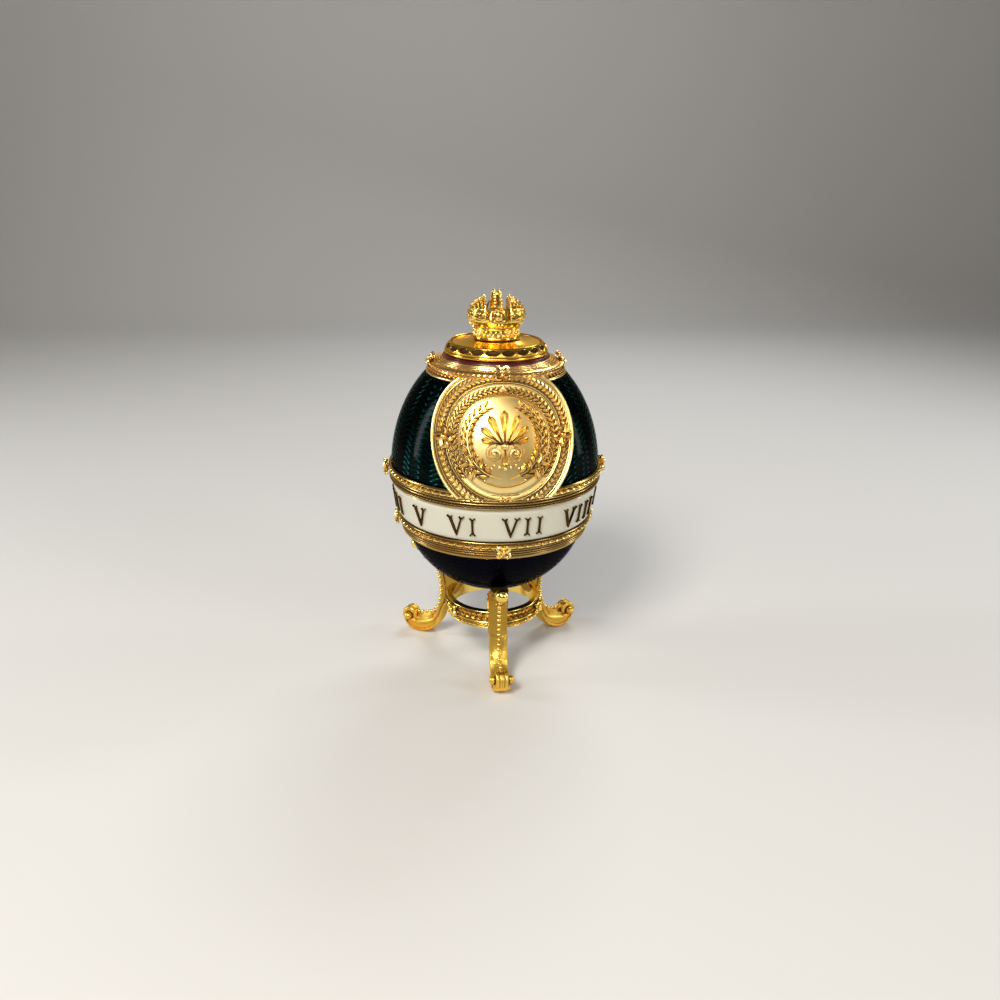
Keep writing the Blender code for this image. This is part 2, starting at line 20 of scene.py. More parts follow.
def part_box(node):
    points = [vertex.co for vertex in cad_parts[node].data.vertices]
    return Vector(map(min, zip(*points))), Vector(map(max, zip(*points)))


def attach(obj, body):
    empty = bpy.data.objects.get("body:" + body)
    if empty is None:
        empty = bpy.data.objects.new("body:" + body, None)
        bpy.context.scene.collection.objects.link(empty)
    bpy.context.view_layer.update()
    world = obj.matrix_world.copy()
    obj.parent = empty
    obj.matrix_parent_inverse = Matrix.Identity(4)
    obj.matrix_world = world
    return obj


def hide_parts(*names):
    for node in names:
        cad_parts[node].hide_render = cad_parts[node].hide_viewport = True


MM = 0.001
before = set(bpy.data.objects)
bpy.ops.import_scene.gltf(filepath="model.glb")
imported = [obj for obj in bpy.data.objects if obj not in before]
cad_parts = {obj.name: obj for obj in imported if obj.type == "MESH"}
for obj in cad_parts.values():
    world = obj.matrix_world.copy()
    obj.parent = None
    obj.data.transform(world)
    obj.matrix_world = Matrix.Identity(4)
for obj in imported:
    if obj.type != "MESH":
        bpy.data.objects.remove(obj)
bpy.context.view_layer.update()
print("the frame's nodes:", sorted(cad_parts))


def span(node):
    """Lowest and highest corner of a frame piece, in millimetres."""
    low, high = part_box(node)
    return low / MM, high / MM


# %% [markdown]
# ## Writing node trees as Python
#
# Shaders and geometry trees are both made of nodes and links. One class adds any node from its
# type, its settings and its sockets. Another wraps an output socket, so that sums written on it
# in Python turn into Math nodes. The formulas then read like formulas.

# %% A socket that can be calculated with
def operator(operation):
    """A method that makes one Math node of a wire and what stands beside it."""
    return lambda wire, *others: wire.maths(operation, wire, *others)


class Wire:
    """An output socket. Python's operators on it add Math nodes to its tree."""

    def __init__(self, graph, socket):
        self.graph = graph
        self.socket = socket

    def maths(self, operation, *values):
        return self.graph.node("ShaderNodeMath", {"operation": operation}, dict(enumerate(values)))

    __add__ = __radd__ = operator("ADD")
    __sub__ = operator("SUBTRACT")
    __mul__ = __rmul__ = operator("MULTIPLY")
    __truediv__ = operator("DIVIDE")
    __pow__ = operator("POWER")
    sine = operator("SINE")
    size = operator("ABSOLUTE")

    def __rsub__(self, other):
        return self.maths("SUBTRACT", other, self)

    def between(self, low, high):
        """0 below low, 1 above high and a soft step from one to the other."""
        settings = {"interpolation_type": "SMOOTHSTEP"}
        sockets = {"Value": self, "From Min": low, "From Max": high}
        return self.graph.node("ShaderNodeMapRange", settings, sockets)


# %% [markdown]
# ## One method for every other node
#
# A node needs a type, settings and sockets. The settings come first, because they decide which
# sockets there are. A finish is a tree with a Principled shader in it: what is the same all over
# is set as a value on the shader, and only what changes over the surface is fed by nodes.

# %% A tree that is filled through one method
class Graph:
    """A node tree that is filled through one method."""

    def __init__(self, tree):
        self.tree = tree

    def node(self, kind, settings=None, sockets=None, out=0):
        """Add a node: its settings first, then the values or links of its sockets."""
        made = self.tree.nodes.new(kind)
        for name, value in (settings or {}).items():
            setattr(made, name, value)
        for name, value in (sockets or {}).items():
            self.join(value, made.inputs[name])
        return Wire(self, made.outputs[out])

    def join(self, value, socket):
        if isinstance(value, Wire):
            self.tree.links.new(value.socket, socket)
        else:
            socket.default_value = value

    def mixed(self, share, first, second):
        """A colour between two others."""
        settings = {"data_type": "RGBA"}
        return self.node("ShaderNodeMix", settings, {0: share, 6: first, 7: second}, out=2)

    def noise(self, place, scale, detail=3.0):
        """Cloudy values about 0.5. The scale is in clouds per metre."""
        sockets = {"Vector": place, "Scale": scale, "Detail": detail}
        return self.node("ShaderNodeTexNoise", {}, sockets)

    def place(self):
        """The point on the piece, in the row frame's metres."""
        return self.node("ShaderNodeTexCoord", out="Object")

    def bump(self, height, depth, strength=1.0):
        """A normal tilted by a height field whose full range is the depth in millimetres."""
        sockets = {"Height": height, "Distance": depth * MM, "Strength": strength}
        return self.node("ShaderNodeBump", {}, sockets)


class Finish(Graph):
    """A Principled material. Values that are the same all over are set on its own sockets."""

    def __init__(self, name, **values):
        self.material = bpy.data.materials.new(name)
        self.material.use_nodes = True
        super().__init__(self.material.node_tree)
        self.shader = self.tree.nodes["Principled BSDF"]
        for socket, value in values.items():
            self.shader.inputs[socket.replace("_", " ")].default_value = value

    def feed(self, socket, value):
        self.join(value, self.shader.inputs[socket])


# %% [markdown]
# ## The gilding
#
# All the metal is cast and plated, then toned. An Ambient Occlusion node finds the hollows of the
# piece itself, and the gold is tinted amber in shallow hollows and dark brown in deep ones: partly
# the toning that stays in hollows, partly painted shade. Fine noise in the roughness and the bump
# gives the skin of a small casting. The crown and the stand's ring are bright yellow, and the
# ring, balls and beads of the stand, the pearls and the ribbons are gilt brighter than what they
# sit on, as a painted highlight. The collar is rosy, the plaque pale with coppery knots, and the
# bands darkest. The lid is painted nearly black inside its lenses, as shade and dark reflection,
# and the legs get a painted shade that deepens from yellow feet to russet heads under the egg.

# %% Gilding in several tones
HOLLOW_REACH = 0.9                # reach of the dark tint in hollows, toning and painted shade, in mm
DRIFT = 0.8                     # how much of the redder gold shows in clouds
SHADE_SHARE = 0.85                  # how much of the painted shade shows on a leg under the egg
AMBER = (0.92, 0.40, 0.06, 1.0)
# The two browns below darken hollows: partly toning, partly painted shade.
PATINA_AND_SHADE_BROWN = (0.070, 0.026, 0.006, 1.0)
DARK_PATINA_AND_SHADE = (0.085, 0.040, 0.008, 1.0)
WARM_EDGE = (1.0, 0.80, 0.48, 1.0)
# Near black for the lid's lenses and hollows: painted shade and dark reflection, partly toning.
BLACK_PATINA_AND_SHADE = (0.022, 0.010, 0.003, 1.0)
# Painted shade for the legs' upper parts under the egg.
SHADE_RUSSET = (0.40, 0.235, 0.038, 1.0)


def gilding(name, tone, dark, roughness, hollow_darkening, amber=0.5, deep_at=(0.15, 0.55), grain=0.004,
            painted=None, shaded_heights=None):
    """Plated metal that turns amber in shallow hollows and dark in deep ones.

    wash and amber are the strengths of the two tints, and deep_at the depths between which the
    dark one sets in. The dark tint is partly toning and partly painted shade.
    grain is the height of the casting's skin in mm.
    painted names an attribute of the piece that is 1 where it is painted dark as shade.
    sheltered is two heights in mm between which a painted shade deepens, as under the egg.
    """
    finish = Finish(name, Metallic=1.0, Roughness=roughness, Specular_Tint=WARM_EDGE)
    place = finish.place()
    ao = finish.node("ShaderNodeAmbientOcclusion", {"samples": 8, "only_local": True},
                     {"Distance": HOLLOW_REACH * MM}, out="AO")
    clouds = finish.noise(place, 160.0)
    # Hollows that the occlusion finds are tinted: partly toning, partly painted shade.
    depth = 1.0 - ao + (clouds - 0.5) * 0.2
    warm = depth.between(0.05, 0.35) * amber
    hollow = depth.between(*deep_at) * hollow_darkening
    # An attribute can paint more of the piece dark, as shade.
    if painted:
        painted_shade_mark = finish.node("ShaderNodeAttribute", {"attribute_name": painted}, out="Fac")
        hollow = hollow.maths("MAXIMUM", hollow, painted_shade_mark * hollow_darkening)
    drift = finish.noise(place, 45.0, 2.0)
    redder = tuple(value * share for value, share in zip(tone, (0.97, 0.80, 0.52, 1.0)))
    toned = finish.mixed(drift.between(0.42, 0.72) * DRIFT, tone, redder)
    # Painted shade: the tone deepens upwards between two heights, as on the legs under the egg.
    if shaded_heights:
        height = finish.node("ShaderNodeSeparateXYZ", {}, {0: place}, out="Z") / MM
        toned = finish.mixed(height.between(*shaded_heights) * SHADE_SHARE, toned, SHADE_RUSSET)
    finish.feed("Base Color", finish.mixed(hollow, finish.mixed(warm, toned, AMBER), dark))
    fine = finish.noise(place, 2600.0, 2.0)
    finish.feed("Roughness", roughness + (fine - 0.5) * 0.05 + hollow * 0.30)
    finish.feed("Metallic", 1.0 - hollow * 0.45)
    coarse = finish.noise(place, 900.0, 3.0)
    finish.feed("Normal", finish.bump(coarse + fine * 0.5, grain))
    return finish.material


bright_gilt = gilding("bright_gilding", (1.0, 0.77, 0.20, 1.0), DARK_PATINA_AND_SHADE, 0.20, 0.95, 0.6,
                      (0.22, 0.58))
# The lid's lenses are painted nearly black by their attribute, as shade and dark reflection.
lid_gilt = gilding("lid_gilding", (1.0, 0.61, 0.10, 1.0), BLACK_PATINA_AND_SHADE, 0.22, 0.98, 0.6, painted="toned")
copper_gilt = gilding("copper_gilding", (1.0, 0.60, 0.17, 1.0), PATINA_AND_SHADE_BROWN, 0.25, 0.9, 0.4)
# The legs get a painted shade that deepens from 3 mm up to 15 mm and above.
deep_gilt = gilding("deep_gilding", (0.95, 0.63, 0.12, 1.0), PATINA_AND_SHADE_BROWN, 0.37, 0.95, 0.6,
                    (0.12, 0.50), 0.09, shaded_heights=(3.0, 15.0))
rose_gilt = gilding("rose_gilding", (1.0, 0.71, 0.29, 1.0), PATINA_AND_SHADE_BROWN, 0.26, 0.92, 0.30,
                    (0.22, 0.62))
pale_gilt = gilding("pale_gilding", (1.0, 0.78, 0.33, 1.0), PATINA_AND_SHADE_BROWN, 0.33, 0.97, 0.12,
                    (0.33, 0.66), 0.003)
band_gilt = gilding("band_gilding", (0.46, 0.33, 0.125, 1.0), PATINA_AND_SHADE_BROWN, 0.20, 0.98, 0.3,
                    (0.04, 0.34))
# Brighter gilding for pearls and ribbons, as a painted highlight.
pearl_gilt = gilding("pearl_gilding", (1.0, 0.81, 0.33, 1.0), DARK_PATINA_AND_SHADE, 0.25, 0.9, 0.15,
                     (0.45, 0.85))
print("gildings:", [made.name for made in (bright_gilt, lid_gilt, copper_gilt, deep_gilt,
                                           rose_gilt, pale_gilt, band_gilt, pearl_gilt)])

# %% [markdown]
# ## The enamels
#
# Green and blue are clear enamels over metal that was engraved with close wavy lines. Looking
# through the glass, each wave throws a short dash of light where it faces the lamp, so the
# dashes stand in columns. The engraving is a bump on the metal below, and the smooth glass on
# top is the shader's coat, whose own normal stays even. White is an opaque enamel.

# %% Clear enamel over engraved metal, and the opaque finishes
WAVES_ROUND = 24                # columns of waves round the egg
WAVE_PITCH = 1.4                # distance between two engraved lines, in mm
WAVE_SWING = 0.70               # how far a line swings up and down, in mm
WAVE_DEEP = 0.24                # depth of the engraving, in mm


def engraved_enamel(name, deep, lit, glass):
    """Dark glass over wavy lines cut round the axis."""
    finish = Finish(name, Metallic=0.97, Roughness=0.17, Specular_Tint=lit, Coat_Weight=glass,
                    Coat_Roughness=0.10)
    place = finish.place()
    axes = {out: finish.node("ShaderNodeSeparateXYZ", {}, {0: place}, out=out) for out in "XYZ"}
    turn = finish.node("ShaderNodeMath", {"operation": "ARCTAN2"}, {0: axes["X"], 1: axes["Y"]})
    swing_up = (turn * float(WAVES_ROUND)).sine() * WAVE_SWING
    phase = (axes["Z"] / MM - swing_up) * (math.pi / WAVE_PITCH)
    ridge = 1.0 - phase.sine().size()
    clouds = finish.noise(place, 120.0, 2.0)
    # The crests of the engraving are painted lighter as a highlight, and clouds vary the tone a
    # little.
    crest_highlight_and_mottle = ridge ** 3.0 * 0.16 + clouds.between(0.4, 0.75) * 0.03
    finish.feed("Base Color", finish.mixed(crest_highlight_and_mottle, deep, lit))
    finish.feed("Normal", finish.bump(ridge, WAVE_DEEP))
    return finish.material


green_glass = engraved_enamel("green_enamel", (0.0005, 0.006, 0.006, 1.0),
                              (0.03, 0.20, 0.165, 1.0), 0.05)
blue_glass = engraved_enamel("blue_enamel", (0.0003, 0.0004, 0.004, 1.0),
                             (0.005, 0.009, 0.10, 1.0), 0.05)

ivory = Finish("white_enamel", Roughness=0.30, Coat_Weight=0.6, Coat_Roughness=0.08)
ivory_place = ivory.place()
ivory_mottle = ivory.noise(ivory_place, 55.0, 3.0).between(0.3, 0.75)
ivory_tone = ivory.mixed(ivory_mottle, (0.60, 0.585, 0.475, 1.0), (0.56, 0.53, 0.42, 1.0))
ivory.feed("Base Color", ivory_tone)
ivory.feed("Normal", ivory.bump(ivory.noise(ivory_place, 420.0, 2.0), 0.02))
ivory = ivory.material

hour_gilt = gilding("hour_bronze", (0.070, 0.038, 0.011, 1.0), (0.010, 0.005, 0.002, 1.0),
                    0.22, 0.9, 0.0)
garnet = Finish("garnet_enamel", Base_Color=(0.060, 0.003, 0.003, 1.0), Roughness=0.3,
                Coat_Weight=0.2)
garnet.feed("Normal", garnet.bump(garnet.noise(garnet.place(), 700.0, 2.0), 0.02))
garnet = garnet.material
print("enamels:", green_glass.name, blue_glass.name, ivory.name, garnet.name)


# %% [markdown]
# ## Shapes as points and faces
#
# A shape here is a pair: an array of points in millimetres and a list of faces. Pairs are easy
# to bend, turn and join with numpy. A mirror image turns a shape inside out, so its faces are
# turned over with it.

# %% Helpers for shapes
def joined(*shapes):
    """Several shapes as one."""
    points, faces, first = [], [], 0
    for some_points, some_faces in shapes:
        points.append(some_points)
        faces += [tuple(index + first for index in face) for face in some_faces]
        first += len(some_points)
    return np.vstack(points), faces


def placed(shape, matrix):
    """A shape moved by a matrix that doesn't mirror it."""
    points, faces = shape
    turn = np.array(matrix.to_3x3())
    return points @ turn.T + np.array(matrix.translation), faces


def shift(x, y, z):
    return Matrix.Translation((x, y, z))


def spin(degrees, axis):
    return Matrix.Rotation(math.radians(degrees), 4, axis)


def mirrored(shape):
    """A shape's mirror image across the plane where X is zero."""
    points, faces = shape
    return points * (-1.0, 1.0, 1.0), [face[::-1] for face in faces]


def both_sides(shape):
    return joined(shape, mirrored(shape))


def lifted(shape, height):
    return placed(shape, shift(0.0, 0.0, height))


corner = (np.array([[1.0, 0.0, 0.0]]), [])
print("a point turned and lifted:", placed(corner, shift(0.0, 0.0, 5.0) @ spin(90.0, "Z"))[0])


# %% [markdown]
# ## Turning and lofting
#
# Turned pieces come from an outline of (radius, height) points. Everything else is lofted: rings
# of points are skinned one after another. The signed volume tells whether the faces look
# outwards, and they are turned over when it is negative.

# %% Skin rings and turn outlines
def outward(shape):
    """The same closed shape with its faces looking out."""
    points, faces = shape
    volume = 0.0
    for face in faces:
        a = points[face[0]]
        for second, third in zip(face[1:], face[2:]):
            volume += np.dot(a, np.cross(points[second], points[third]))
    return (points, [face[::-1] for face in faces]) if volume < 0.0 else shape


def lofted(rings, closed=False):
    """A skin over rings with equal numbers of points, capped at both ends unless closed."""
    rings = np.asarray(rings, float)
    count, around = rings.shape[:2]
    faces = []
    for a in range(count if closed else count - 1):
        b = (a + 1) % count
        for i in range(around):
            j = (i + 1) % around
            faces.append((a * around + i, a * around + j, b * around + j, b * around + i))
    if not closed:
        faces.append(tuple(range(around))[::-1])
        faces.append(tuple(range((count - 1) * around, count * around)))
    return outward((rings.reshape(-1, 3), faces))


def turned(outline, steps, relief=None):
    """A closed outline of (radius, height) points turned about the axis.

    relief(turn, index) gives how far each outline point moves out at each turn, in mm.
    """
    outline = np.asarray(outline, float)
    turns = np.arange(steps) * 2.0 * math.pi / steps
    rings = np.zeros((steps, len(outline), 3))
    for index, (radius, height) in enumerate(outline):
        out = radius + (relief(turns, index) if relief and radius > 0.01 else 0.0)
        rings[:, index, 0] = out * np.sin(turns)
        rings[:, index, 1] = -out * np.cos(turns)
        rings[:, index, 2] = height
    return lofted(rings, closed=True)


print("faces of a plain ring:", len(turned([(1.0, 0.0), (2.0, 0.0), (1.5, 1.0)], 12)[1]))

# %% [markdown]
# ## Outlines, lines and bars
#
# A founder's pattern is mostly mouldings: reeds, coves and flats, one after another. They are
# written as rows of three numbers. Curved parts need a smooth line through a few points and a
# round bar along it, and everything needs beads.

# %% Draw outlines, lines, bars and beads
def contour(rows, start=(0.0, 0.0), fine=7):
    """Points along a row of mouldings: each (run, rise, bulge) is a reed, a cove or a flat."""
    along, out = start
    points = [(along, out)]
    for run, rise, bulge in rows:
        steps = fine if bulge else 1
        for step in range(1, steps + 1):
            t = step / steps
            points.append((along + run * t, out + rise * t + bulge * math.sin(math.pi * t)))
        along, out = along + run, out + rise
    return points


def smooth_line(points, steps):
    """Points on a smooth curve through the given ones."""
    points = np.asarray(points, float)
    ends = np.vstack([2 * points[0] - points[1], points, 2 * points[-1] - points[-2]])
    line = []
    for a, b, c, d in zip(ends, ends[1:], ends[2:], ends[3:]):
        for step in range(steps):
            t = step / steps
            line.append(0.5 * (2 * b + (c - a) * t + (2 * a - 5 * b + 4 * c - d) * t ** 2
                               + (3 * b - a - 3 * c + d) * t ** 3))
    line.append(points[-1])
    return np.array(line)


def tube(line, radii, sides=8, closed=False):
    """A round bar along a line. The radius is one number or one for each point."""
    line = np.asarray(line, float)
    radii = np.broadcast_to(np.asarray(radii, float), len(line))
    rings, side = [], None
    count = len(line)
    for index in range(count):
        ahead = line[(index + 1) % count] if closed else line[min(index + 1, count - 1)]
        behind = line[index - 1] if closed else line[max(index - 1, 0)]
        way = (ahead - behind) / np.linalg.norm(ahead - behind)
        if side is None:
            side = np.cross(way, (0.31, 0.17, 0.93))
        side = side - way * np.dot(side, way)
        side /= np.linalg.norm(side)
        up = np.cross(way, side)
        angles = np.arange(sides) * 2.0 * math.pi / sides
        offsets = np.outer(np.cos(angles), side) + np.outer(np.sin(angles), up)
        rings.append(line[index] + offsets * radii[index])
    return lofted(rings, closed)


def arc(radius, height, wide, tall, first, last, steps):
    """Outline points on a rounded edge, about its middle, from one angle in degrees to another."""
    return [(radius + wide * math.cos(angle), height + tall * math.sin(angle))
            for angle in np.radians(np.linspace(first, last, steps))]


def read_back(work):
    """The shape in a bmesh, which is then let go."""
    work.verts.index_update()
    points = np.array([vertex.co for vertex in work.verts])
    faces = [tuple(vertex.index for vertex in face.verts) for face in work.faces]
    work.free()
    return points, faces


def bead(radius, stretch=(1.0, 1.0, 1.0), steps=10):
    """A ball, or a lump with three different half-widths."""
    work = bmesh.new()
    bmesh.ops.create_uvsphere(work, u_segments=steps, v_segments=steps * 2 // 3, radius=radius)
    points, faces = read_back(work)
    return points * stretch, faces


print("points on the outline of one reed:", len(contour([(1.0, 0.0, 0.2)])))

# %% [markdown]
# ## Finishing a piece
#
# A finished piece is a mesh in metres whose object sits at the origin. Doubled points are merged
# first. The faces are shaded smooth, but edges sharper than a limit stay crisp, as on a casting
# that was chased after it was cleaned.

# %% Make a shape a piece
def held(name, shape, edges=()):
    """A shape as an object in the scene."""
    points, faces = shape
    mesh = bpy.data.meshes.new(name)
    mesh.from_pydata(np.asarray(points).tolist(), edges, faces)
    made = bpy.data.objects.new(name, mesh)
    bpy.context.scene.collection.objects.link(made)
    return made


SMOOTH_BELOW = 42.0             # edges sharper than this many degrees stay crisp
WELD = 0.0008                   # points closer than this many mm become one


def finished(name, shape, material, replaces=None):
    """Turn a shape into a piece in metres that rides on the root body."""
    points, faces = shape
    made = held(name, (points * MM, faces))
    mesh = made.data
    work = bmesh.new()
    work.from_mesh(mesh)
    bmesh.ops.remove_doubles(work, verts=work.verts, dist=WELD * MM)
    work.to_mesh(mesh)
    work.free()
    mesh.validate()
    mesh.shade_smooth()
    mesh.set_sharp_from_angle(angle=math.radians(SMOOTH_BELOW))
    mesh.materials.append(material)
    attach(made, "root")
    if replaces:
        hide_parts(replaces)
    triangles = sum(len(face.vertices) - 2 for face in mesh.polygons)
    low, high = points.min(0), points.max(0)
    print(f"{name}: {triangles} triangles, from {low.round(2)} to {high.round(2)} mm")
    return made


# %% [markdown]
# ## Rows of ornament with Geometry Nodes
#
# Beads, leaves, rope strands and hours are all the same job: one small shape, set out many
# times. Two trees do it. Both begin with named inputs and end by making the copies real,
# because instances are lost in an export.

# %% Begin and end a tree
def new_tree(name, inputs):
    """An empty geometry tree with named inputs, and its group input's sockets as wires."""
    tree = bpy.data.node_groups.new(name, "GeometryNodeTree")
    tree.interface.new_socket("Geometry", in_out="INPUT", socket_type="NodeSocketGeometry")
    for title, kind, value in inputs:
        socket = tree.interface.new_socket(title, in_out="INPUT", socket_type=f"NodeSocket{kind}")
        if value is not None:
            socket.default_value = value
    tree.interface.new_socket("Geometry", in_out="OUTPUT", socket_type="NodeSocketGeometry")
    graph = Graph(tree)
    group = tree.nodes.new("NodeGroupInput")
    given = {socket.name: Wire(graph, socket) for socket in group.outputs if socket.name}
    return graph, given


def close_tree(graph, given, copies):
    """Make the copies real, give them their material and end the tree."""
    real = graph.node("GeometryNodeRealizeInstances", {}, {0: copies})
    painted = graph.node("GeometryNodeSetMaterial", {}, {0: real, "Material": given["Material"]})
    end = graph.tree.nodes.new("NodeGroupOutput")
    graph.join(painted, end.inputs[0])
    return graph.tree


# %% [markdown]
# ## A ring of copies
#
# The first tree sets a shape round the axis, as a founder repeats one pattern round a ring. A
# copy's number gives its turn about the axis, and the turn gives its place and its rotation.

# %% A tree that sets a shape round the axis
def ring_tree():
    """Set a shape that faces -Y round the axis, at a radius and a height."""
    graph, given = new_tree("set round the axis", [
        ("Shape", "Object", None), ("Count", "Int", 12), ("Radius", "Float", 10.0),
        ("Height", "Float", 0.0), ("First turn", "Float", 0.0), ("Step", "Float", 0.5),
        ("Material", "Material", None)])
    index = graph.node("GeometryNodeInputIndex")
    turn = given["First turn"] + index * given["Step"]
    out = given["Radius"]
    across = turn.sine() * out
    depth = (turn + math.pi / 2.0).sine() * out * -1.0
    place = graph.node("ShaderNodeCombineXYZ", {}, {0: across, 1: depth, 2: given["Height"]})
    points = graph.node("GeometryNodePoints", {}, {"Count": given["Count"], "Position": place})
    shape = graph.node("GeometryNodeObjectInfo", {}, {"Object": given["Shape"]}, out="Geometry")
    rotation = graph.node("ShaderNodeCombineXYZ", {}, {2: turn})
    copies = graph.node("GeometryNodeInstanceOnPoints", {}, {
        "Points": points, "Instance": shape, "Rotation": rotation})
    return close_tree(graph, given, copies)


RING_TREE = ring_tree()
print(RING_TREE.name + ":", len(RING_TREE.nodes), "nodes")


# %% [markdown]
# ## Copies along a line
#
# The second tree sets a shape along a drawn line. A copy is turned to follow the line and to
# stand up from the surface, whose direction is stored on the line's points. It may grow or
# shrink on the way, as leaves do on a stem.

# %% A tree that sets a shape along a line
def path_tree():
    """Set a shape along a line: its X follows the line and its Z stands up from the surface."""
    graph, given = new_tree("set along a line", [
        ("Shape", "Object", None), ("Count", "Int", 12), ("First size", "Float", 1.0),
        ("Last size", "Float", 1.0), ("Material", "Material", None)])
    line = graph.node("GeometryNodeMeshToCurve", {}, {0: given["Geometry"]})
    spaced = graph.node("GeometryNodeResampleCurve", {}, {0: line, "Count": given["Count"]})
    facing = graph.node("GeometryNodeInputNamedAttribute", {"data_type": "FLOAT_VECTOR"},
                        {"Name": "facing"})
    way = graph.node("GeometryNodeInputTangent")
    along = graph.node("FunctionNodeAlignRotationToVector", {"axis": "X"}, {"Vector": way})
    stood = graph.node("FunctionNodeAlignRotationToVector", {"axis": "Z", "pivot_axis": "X"},
                       {"Rotation": along, "Vector": facing})
    share = graph.node("GeometryNodeSplineParameter")
    size = given["First size"] + (given["Last size"] - given["First size"]) * share
    shape = graph.node("GeometryNodeObjectInfo", {}, {"Object": given["Shape"]}, out="Geometry")
    copies = graph.node("GeometryNodeInstanceOnPoints", {}, {
        "Points": spaced, "Instance": shape, "Rotation": stood, "Scale": size})
    return close_tree(graph, given, copies)


PATH_TREE = path_tree()
print(PATH_TREE.name + ":", len(PATH_TREE.nodes), "nodes")


# %% [markdown]
# ## Running a tree
#
# A tree runs as a modifier on a small host object. Its inputs are set by the sockets' own
# identifiers, the result is read back as a shape, and host and pattern are thrown away.

# %% Set copies round the axis or along a line
def run_tree(tree, host, shape, values):
    """Run a tree on an object with its inputs set by name, and read the result as a shape.

    The copies all get one gilding here, and finished() gives a piece its own.
    """
    values = {**values, "Shape": held("pattern", shape), "Material": pale_gilt}
    modifier = host.modifiers.new("ornament", "NODES")
    modifier.node_group = tree
    for item in tree.interface.items_tree:
        if item.in_out == "INPUT" and item.name in values:
            modifier[item.identifier] = values[item.name]
    bpy.context.view_layer.update()
    graph = bpy.context.evaluated_depsgraph_get()
    result = bpy.data.meshes.new_from_object(host.evaluated_get(graph))
    points = np.zeros(len(result.vertices) * 3, np.float32)
    result.vertices.foreach_get("co", points)
    faces = [tuple(face.vertices) for face in result.polygons]
    bpy.data.objects.remove(host)
    bpy.data.objects.remove(values["Shape"])
    bpy.data.meshes.remove(result)
    return points.reshape(-1, 3).astype(float), faces


def set_round(shape, count, radius, height, first=0.0, step=None):
    """Copies of a shape round the axis. Angles are in degrees, and by default they go all round."""
    host = held("host", (np.zeros((1, 3)), []))
    step = 360.0 / count if step is None else step
    return run_tree(RING_TREE, host, shape, {
        "Count": count, "Radius": radius, "Height": height, "First turn": math.radians(first),
        "Step": math.radians(step)})


def set_along(shape, line, facing, count, first_size=1.0, last_size=1.0):
    """Copies of a shape along a line of points, standing up along the facing directions."""
    host = held("line", (line, []), [(i, i + 1) for i in range(len(line) - 1)])
    facing = np.broadcast_to(facing, np.shape(line)).astype(np.float32)
    stored = host.data.attributes.new("facing", "FLOAT_VECTOR", "POINT")
    stored.data.foreach_set("vector", facing.ravel())
    return run_tree(PATH_TREE, host, shape, {
        "Count": count, "First size": first_size, "Last size": last_size})


# %% [markdown]
# ## The egg's curves
#
# The cup and the dome are two flattened ellipses turned about the axis. The same two formulas
# shaped the engineering model, so pieces made from them fit it without any adjusting. A table
# of arc length up the dome lets a flat drawing be wrapped on it like a label on an egg.

# %% The two curves, and wrapping a flat drawing on the dome
CUP_RADIUS = 25.6
CUP_HEIGHT = 24.7
CUP_MIDDLE = 45.8               # height at which the cup is widest
CUP_POWER = 0.524               # 0.5 would make a true ellipse
DOME_RADIUS = 28.6
DOME_HEIGHT = 34.6
DOME_MIDDLE = 56.6
DOME_POWER = 0.466
PLAQUE_MIDDLE = 71.3            # height of the plaque's centre
WALL = 1.8                      # thickness of cup, dome and ring, in mm


def cup_radius(height):
    rise = (CUP_MIDDLE - np.asarray(height, float)) / CUP_HEIGHT
    return CUP_RADIUS * np.clip(1.0 - rise ** 2, 0.0, None) ** CUP_POWER


def dome_radius(height):
    rise = (np.asarray(height, float) - DOME_MIDDLE) / DOME_HEIGHT
    return DOME_RADIUS * np.clip(1.0 - rise ** 2, 0.0, None) ** DOME_POWER


level_heights = np.linspace(50.0, 90.0, 1601)
level_radii = dome_radius(np.maximum(level_heights, DOME_MIDDLE))
level_steps = np.hypot(np.diff(level_heights), np.diff(level_radii))
level_arcs = np.concatenate([[0.0], np.cumsum(level_steps)])
level_arcs -= np.interp(PLAQUE_MIDDLE, level_heights, level_arcs)
level_slopes = np.gradient(level_radii, level_heights)


def wrapped(shape):
    """A flat drawing wrapped on the dome: X goes round it, Y up it and Z out from it."""
    points, faces = shape
    heights = np.interp(points[:, 1], level_arcs, level_heights)
    radii = np.interp(heights, level_heights, level_radii)
    slopes = np.interp(heights, level_heights, level_slopes)
    lean = np.sqrt(1.0 + slopes ** 2)
    turns = points[:, 0] / radii
    out = radii + points[:, 2] / lean
    up = heights - points[:, 2] * slopes / lean
    return np.stack([out * np.sin(turns), -out * np.cos(turns), up], 1), faces


print("dome radius in mm at the plaque's middle:", round(float(dome_radius(PLAQUE_MIDDLE)), 2))

# %% [markdown]
# ## The enamelled cup and dome
#
# Both are spun sheet metal under enamel, hollow and open where they meet the bands. A turned
# outline with a real inner wall is all they need, because their ornament lies under the glass.
# The steps crowd where the curve is tight.

# %% Turn the cup and the dome
SHELL_STEPS = 256
CUP_ROWS = 64
DOME_ROWS = 80

cup_low, cup_high = [corner.z for corner in span("lower_shell")]
shares = np.sin(np.linspace(0.0, math.pi / 2.0, CUP_ROWS))
heights = cup_high + (cup_low - cup_high) * shares
cup_line = [(float(cup_radius(height)), height) for height in heights]
cup_line[-1:] = [(0.0, cup_low), (0.0, cup_low + WALL)]
for height in [*heights[-2::-3], cup_high]:
    lift = WALL * (cup_high - height) / (cup_high - cup_low)
    cup_line.append((float(cup_radius(height)) * (1.0 - WALL / CUP_RADIUS), height + lift))
finished("blue_cup", turned(cup_line, SHELL_STEPS), blue_glass, "lower_shell")

